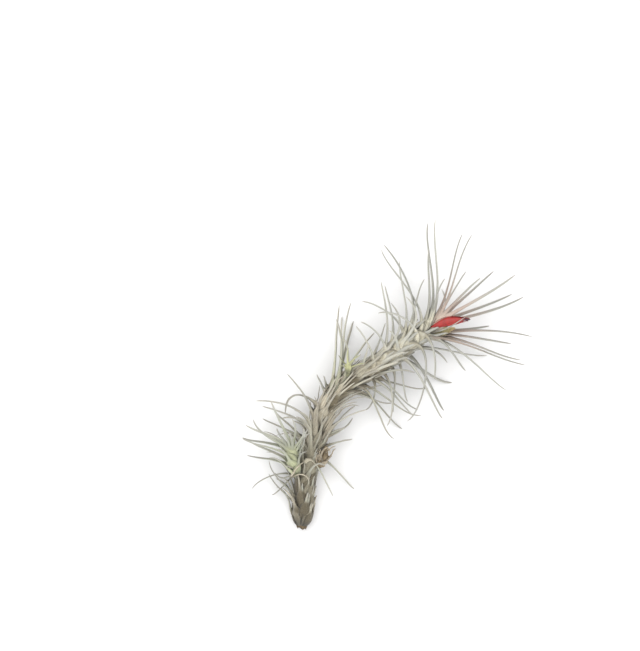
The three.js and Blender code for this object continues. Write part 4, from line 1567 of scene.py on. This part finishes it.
    def _set_apart(self, row: Sequence[float], leaf: Leaf) -> None:
        """Gives a marked leaf what sets its group apart.

        Args:
            row: the leaf's marked places.
            leaf: the leaf.
        """
        if row[0] > self.blush_from and row[1] > self.blush_above:
            leaf.blush, leaf.tint = 0.8, 0.5 * leaf.tint
        if row in BEND_LEFT[:7]:
            leaf.green, leaf.dry_sheath = 0.7, 0.2 * leaf.dry_sheath
            leaf.breadth, leaf.tint = 1.2, 0.7 + 0.3 * leaf.tint
        if row in CROWN_RIGHT[10:13] or row in CROWN_LEFT[4:7]:
            leaf.breadth = 1.3

    def _stain_and_shade(self, leaf: Leaf) -> None:
        """Turns a leaf's sheath brown: a real stain, most at the foot, and painted shade on the low,
        right side of the stem, most in the hollow of the bend.

        Args:
            leaf: the leaf.
        """
        here = self.shoot.station(leaf.distance)
        aside = (leaf.place(0.3) - here.point).dot(here.left)
        low = min(max(self.low_at_axis - self.low_by_side * aside, 0.0), 1.0)
        high_stain_and_shade = value_at(self.stain_and_shade_high, leaf.distance)
        low_stain_and_shade = value_at(self.stain_and_shade_low, leaf.distance)
        stain_and_shade = high_stain_and_shade + low * (low_stain_and_shade - high_stain_and_shade)
        leaf.stain_and_shade = min(1.0, stain_and_shade * varied(self.draw, *self.stain_and_shade_varies))
        if leaf.distance < self.foot_to:
            leaf.tint *= self.foot_tint

    def _age(self, leaf: Leaf, blade_share: float) -> None:
        """Gives a leaf its age by its place on the shoot, and its own small differences.

        Args:
            leaf: the leaf.
            blade_share: how far the blade dries with the sheath.
        """
        dryness = value_at(self.dry_span, leaf.distance)
        leaf.dry_sheath = min(1.0, dryness * varied(self.draw, *self.dryness_varies))
        leaf.dry_blade = leaf.dry_sheath * blade_share * varied(self.draw, *self.blade_varies)
        pale = self.pale_varies if leaf.distance >= self.pale_from else (0.0, 1.0)
        leaf.tint = varied(self.draw, *pale)
        leaf.twist = self.twist * (next(self.draw) - 0.5)
        leaf.wave = 0.15 + 1.2 * leaf.dry_blade
        near = max(0.0, 1 - abs(leaf.distance - self.green_at) / self.green_within)
        leaf.green = self.green * near + self.green * (leaf.distance < self.green_until)

    def _core(self) -> bpy.types.Object:
        """Builds the fibrous core.

        Returns:
            The core, with its ragged dry end at the foot.
        """
        # the core's dark brown is partly its own and partly painted shade, so the gaps between the
        # sheaths read dark
        bark = TissueFinish(
            "stem_core", light="7A6749", dark="3F3222", end="8F7B5C", fibres=7.0, roughness=0.85,
            bump=0.9,
        )
        core = RoughCore(
            radii=[(at, self.core_share * radius) for at, radius in STEM_RADIUS], corners=28,
            base=0.9, ridge=0.16, ripple=0.05, pitch=1.7, phase=9, ragged=1.8, lowest=0.05,
        )
        steps = int(self.shoot.length / self.core_step)
        return core.build("stem_core", self.shoot, steps, seeded_draws(23), bark.material())


@dataclass
class BaseOffset:
    """The green offset that leaves the left side of the foot."""

    sheath: float = 5.0
    wrap: float = 2.5
    spiral: Spiral = Spiral(
        seed=3, count=6, begins=2, ends=8, jitter=20, sheath=4, wrap=2.5, radii=BASE_OFFSET_RADIUS,
        lift=[(0, 52), (8, 34)], reach=[(0, 8), (8, 9)], swing=10,
    )

    def build(self) -> None:
        """Builds and dresses the offset."""
        shoot, draw = Shoot(BASE_OFFSET_AXIS), seeded_draws(31)
        leaves = []
        for row in BASE_OFFSET_LEAVES:
            leaf = marked_leaf(shoot, BASE_OFFSET_RADIUS, self.sheath, self.wrap, row)
            leaf.breadth = 0.9
            leaves.append(leaf)
        for leaf in self.spiral.leaves(shoot):
            leaf.breadth = 0.8
            leaves.append(leaf)
        for leaf in leaves:
            leaf.green, leaf.tint = 0.35 + 0.3 * next(draw), next(draw)
            leaf.twist, leaf.wave = 0.6 * (next(draw) - 0.5), 0.4
        finish = LeafFinish(
            "green_offset", sheath="B5B696", sheath_shade="999B7A", green="9CA37C", scurf_share=0.32,
        )
        dressed(LEAF_FORM.grow("base_offset_leaves", leaves, finish.material()), "base_offset")


@dataclass
class SideOffset:
    """The small yellow-green offset in the bend."""

    sheath: float = 3.0
    wrap: float = 1.4

    def build(self) -> None:
        """Builds and dresses the offset."""
        shoot, draw = Shoot(SIDE_OFFSET_AXIS), seeded_draws(37)
        leaves = []
        for row in SIDE_OFFSET_LEAVES:
            leaf = marked_leaf(shoot, SIDE_OFFSET_RADIUS, self.sheath, self.wrap, row)
            leaf.breadth, leaf.green, leaf.tint = 0.42, 0.7, next(draw)
            leaves.append(leaf)
        finish = LeafFinish(
            "yellow_green_offset", sheath="B4B189", sheath_shade="98956C", blade="AFAF8B",
            blade_shade="92926D", green="AEB082", scurf_share=0.25,
        )
        dressed(LEAF_FORM.grow("side_offset_leaves", leaves, finish.material()), "side_offset")


@dataclass
class Flower:
    """The one open flower: three petals rolled into a tube, with a dark end."""

    radius: Pairs = ((0, 0.7), (3, 1.35), (6.5, 1.72), (10, 1.32), (12.5, 0.8), (14.6, 0.16))
    grid: tuple[int, int] = (30, 15)
    spread: float = 74.0
    narrows_from: float = 0.45
    overlap: float = 0.2
    thickness: float = 0.16
    # each petal's bearing round the axis, and its reach as a share of it
    petals: Pairs = ((75.0, 0.87), (195.0, 0.93), (315.0, 0.97))
    stigma_radius: Pairs = (
        (8, 0.2), (11.4, 0.3), (12.8, 0.42), (13.6, 0.36), (14.2, 0.22), (14.7, 0.07),
    )
    stigma_corners: int = 10
    stigma_steps: int = 21
    stigma_lobes: int = 3
    stigma_lobe: float = 0.22

    def build(self) -> None:
        """Builds and dresses the petals and the dark end."""
        self.shoot = Shoot(FLOWER_AXIS)
        red = TissueFinish(
            "red_petal", light="AE1F19", dark="80110C", end="5C131F", end_from=0.86, end_share=0.8,
            fibres=6.0, roughness=0.5, bump=0.3,
        ).material()
        dark = TissueFinish(
            "dark_stigma", light="4E2438", dark="2E1422", end="241018", roughness=0.6, bump=0.4,
        ).material()
        for number, (bearing, share) in enumerate(self.petals):
            dressed(self._petal(f"petal_{number + 1}", bearing, share, red), "flower")
        dressed(self._stigma(dark), "flower")

    def _petal(
        self, name: str, bearing: float, share: float, finish: bpy.types.Material,
    ) -> bpy.types.Object:
        """Rolls one petal round the flower's axis.

        Args:
            name: the piece's name.
            bearing: where its middle lies round the axis, in degrees.
            share: how far along the axis it reaches.
            finish: its material.

        Returns:
            The petal.
        """
        def section(part: float, across: float) -> tuple[float, float, float]:
            """Finds a place on the petal.

            Args:
                part: its share of the petal's length.
                across: its place across, from -1 to 1.

            Returns:
                Its distance along the axis, its bearing and its radius.
            """
            distance = self.shoot.length * share * part
            # the petal narrows to a point at its end
            narrowed = max(0.0, (part - self.narrows_from) / (1 - self.narrows_from))
            width = self.spread * math.sqrt(max(0.0, 1 - narrowed**2.2)) + 2
            # one edge lies over the next petal and the other under the one before
            lift = self.overlap * across + 0.1 * math.sin(3.1 * across + 4 * part) * part
            radius = value_at(self.radius, distance) + lift
            return distance, math.radians(bearing + width * across), radius

        return rolled_sheet(name, self.shoot, self.grid, self.thickness, 0.05, section, finish)

    def _stigma(self, finish: bpy.types.Material) -> bpy.types.Object:
        """Builds the dark end that stands out of the tube.

        Args:
            finish: its material.

        Returns:
            The dark end, twisted and with three lobes.
        """
        begins, ends = self.stigma_radius[0][0], self.stigma_radius[-1][0]
        rings, along, around = [], [], []
        for step in range(self.stigma_steps + 1):
            part = step / self.stigma_steps
            distance = begins + (ends - begins) * part
            radius = value_at(self.stigma_radius, distance)
            ring = []
            for corner in range(self.stigma_corners):
                bearing = 2 * math.pi * corner / self.stigma_corners
                lobe = 1 + self.stigma_lobe * math.cos(self.stigma_lobes * bearing + distance)
                ring.append(self.shoot.beside(distance, bearing, radius * lobe))
                along.append(part)
                around.append(math.cos(bearing))
            rings.append(ring)
        places, faces = tube(np.array(rings))
        return mesh_object("stigma", places, faces, finish, {"along": along, "around": around})


@dataclass
class FlowerBract:
    """The yellow-olive bract that clasps the flower from below: a keeled boat."""

    radius: Pairs = ((0, 0.7), (2.5, 1.4), (5.5, 1.35), (8, 0.75), (9.4, 0.25))
    grid: tuple[int, int] = (26, 13)
    bearing: float = -75.0
    spread: float = 82.0
    keel: float = 0.22
    keel_width: float = 0.12
    thickness: float = 0.22

    def build(self) -> None:
        """Builds and dresses the bract."""
        shoot = Shoot(BRACT_AXIS)

        def section(part: float, across: float) -> tuple[float, float, float]:
            """Finds a place on the bract.

            Args:
                part: its share of the bract's length.
                across: its place across, from -1 to 1.

            Returns:
                Its distance along the axis, its bearing and its radius.
            """
            distance = shoot.length * part
            keel = self.keel * math.exp(-(across / self.keel_width) ** 2)
            turn = math.radians(self.bearing + self.spread * across)
            return distance, turn, value_at(self.radius, distance) + keel

        olive = TissueFinish(
            "olive_bract", light="D2C898", dark="A1986C", end="C8A27C", end_from=0.5, end_share=0.35,
            fibres=8.0, roughness=0.6, bump=0.5, sheen=0.1,
        ).material()
        bract = rolled_sheet("bract", shoot, self.grid, self.thickness, 0.04, section, olive)
        dressed(bract, "flower_bract")


@dataclass
class DryStub:
    """The brown, dried remains of an old offset, with a tan leaf curled over it."""

    spiral: Spiral = Spiral(
        seed=5, count=6, begins=0.6, ends=3.6, jitter=16, sheath=2.4, wrap=2.3, radii=[(0, 1.2)],
        lift=[(0, 14)], reach=[(0, 3.4)], swing=0,
    )
    core: RoughCore = RoughCore(
        radii=STUB_RADIUS, corners=22, base=0.82, ridge=0.3, ripple=0.06, pitch=4, phase=7,
    )
    steps: int = 26

    def build(self) -> None:
        """Builds and dresses the stub and its leaves."""
        shoot, draw = Shoot(STUB_AXIS), seeded_draws(43)
        bark = TissueFinish(
            "dry_stub_core", light="9E8F75", dark="584A35", end="857559", fibres=8.0, roughness=0.9,
            bump=1.0,
        )
        dressed(self.core.build("stub_core", shoot, self.steps, draw, bark.material()), "dry_stub")
        leaves = self.spiral.leaves(shoot)
        for leaf in leaves:
            leaf.breadth = 0.6
        for places, breadth in zip(STUB_CURLS, (0.6, 0.4)):
            leaf = loose_leaf(places)
            leaf.breadth = breadth
            leaves.append(leaf)
        for leaf in leaves:
            leaf.wrap, leaf.dry_sheath, leaf.dry_blade = 2.0, 1.0, 1.0
            leaf.tint, leaf.wave = next(draw), 0.6
        finish = LeafFinish(
            "dry_stub_leaf", dry_light="B3A892", dry_dark="706250", scurf_share=0.1, bump=0.9,
            base_brown_and_shade=0.35,
        )
        dressed(LEAF_FORM.grow("stub_leaves", leaves, finish.material()), "dry_stub")


# The studio

@dataclass(frozen=True)
class Lamp:
    """A square, soft lamp that is aimed at the middle of the plant."""

    name: str
    place: tuple[float, float, float]
    power: float
    size: float


@dataclass
class Studio:
    """A white floor, soft light and a camera that looks straight down on the plant."""

    photo_width: int = 640
    photo_height: int = 651
    millimetres_a_pixel: float = 0.35
    lens: float = 135.0
    sensor: float = 36.0
    plant_height: float = 9.0
    floor_half: float = 3.0
    floor_colours: tuple[str, str] = ("C6C6C7", "C9C9C9")
    world_light: float = 1.95
    lamps: tuple[Lamp, ...] = (
        # a soft one at the upper left and a weaker one at the right
        Lamp("key", (-0.5, 0.62, 0.8), 6.0, 1.1),
        Lamp("fill", (0.8, -0.3, 0.7), 2.0, 1.2),
    )

    def build(self) -> None:
        """Sets up the floor, the lights and the camera."""
        self._floor()
        self._lights()
        self._camera()

    def _floor(self) -> None:
        """Lays the floor."""
        half = self.floor_half
        mesh = bpy.data.meshes.new("floor")
        corners = [(-half, -half, 0), (half, -half, 0), (half, half, 0), (-half, half, 0)]
        mesh.from_pydata(corners, [], [(0, 1, 2, 3)])
        finish = bpy.data.materials.new("floor_white")
        finish.use_nodes = True
        maker = Maker(finish.node_tree)
        surface = finish.node_tree.nodes["Principled BSDF"]
        place = maker.node("ShaderNodeTexCoord").outputs["Object"]
        tones = [paint(code, 1.0) for code in self.floor_colours]
        maker.feed(surface.inputs["Base Color"], maker.blend(maker.noise(place, 3.0), *tones))
        surface.inputs["Roughness"].default_value = 0.9
        surface.inputs["Specular IOR Level"].default_value = 0.1
        mesh.materials.append(finish)
        floor = bpy.data.objects.new("floor", mesh)
        bpy.context.scene.collection.objects.link(floor)
        floor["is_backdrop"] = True

    def _lights(self) -> None:
        """Fills the room with even light and hangs the lamps."""
        world = bpy.data.worlds.new("white_room")
        world.use_nodes = True
        sky = world.node_tree.nodes["Background"]
        sky.inputs["Color"].default_value = (1.0, 0.995, 0.985, 1.0)
        sky.inputs["Strength"].default_value = self.world_light
        bpy.context.scene.world = world
        for lamp in self.lamps:
            light = bpy.data.lights.new(lamp.name, "AREA")
            light.energy, light.size = lamp.power, lamp.size
            holder = bpy.data.objects.new(lamp.name, light)
            holder.location = lamp.place
            holder.rotation_mode = "QUATERNION"
            holder.rotation_quaternion = (-holder.location).to_track_quat("-Z", "Y")
            bpy.context.scene.collection.objects.link(holder)

    def _camera(self) -> None:
        """Sets the camera over the middle of the photograph's frame."""
        view = bpy.data.cameras.new("camera")
        view.lens, view.sensor_width = self.lens, self.sensor
        tall = max(self.photo_width, self.photo_height) * self.millimetres_a_pixel
        away = tall * self.lens / self.sensor
        holder = bpy.data.objects.new("camera", view)
        holder.location = in_frame(np.array([0.0, 0.0, away + self.plant_height]))
        view.clip_start, view.clip_end = 0.05, 20.0
        bpy.context.scene.collection.objects.link(holder)
        bpy.context.scene.camera = holder
        bpy.context.scene.view_settings.view_transform = "Standard"


def keep_sizes() -> None:
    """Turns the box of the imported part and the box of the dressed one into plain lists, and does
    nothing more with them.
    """
    boxes = {"packed": packed_box, "dressed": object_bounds()}
    {name: [list(corner) for corner in box] for name, box in boxes.items()}


def main() -> None:
    """Builds the plant's pieces in order, then the studio, and measures the boxes of the part."""
    logging.basicConfig(level=logging.INFO, format="%(message)s")
    plant = (LeafyStem(), BaseOffset(), SideOffset(), Flower(), FlowerBract(), DryStub())
    for assembly in (*plant, Studio()):
        assembly.build()
    keep_sizes()


if __name__ == "__main__":
    main()
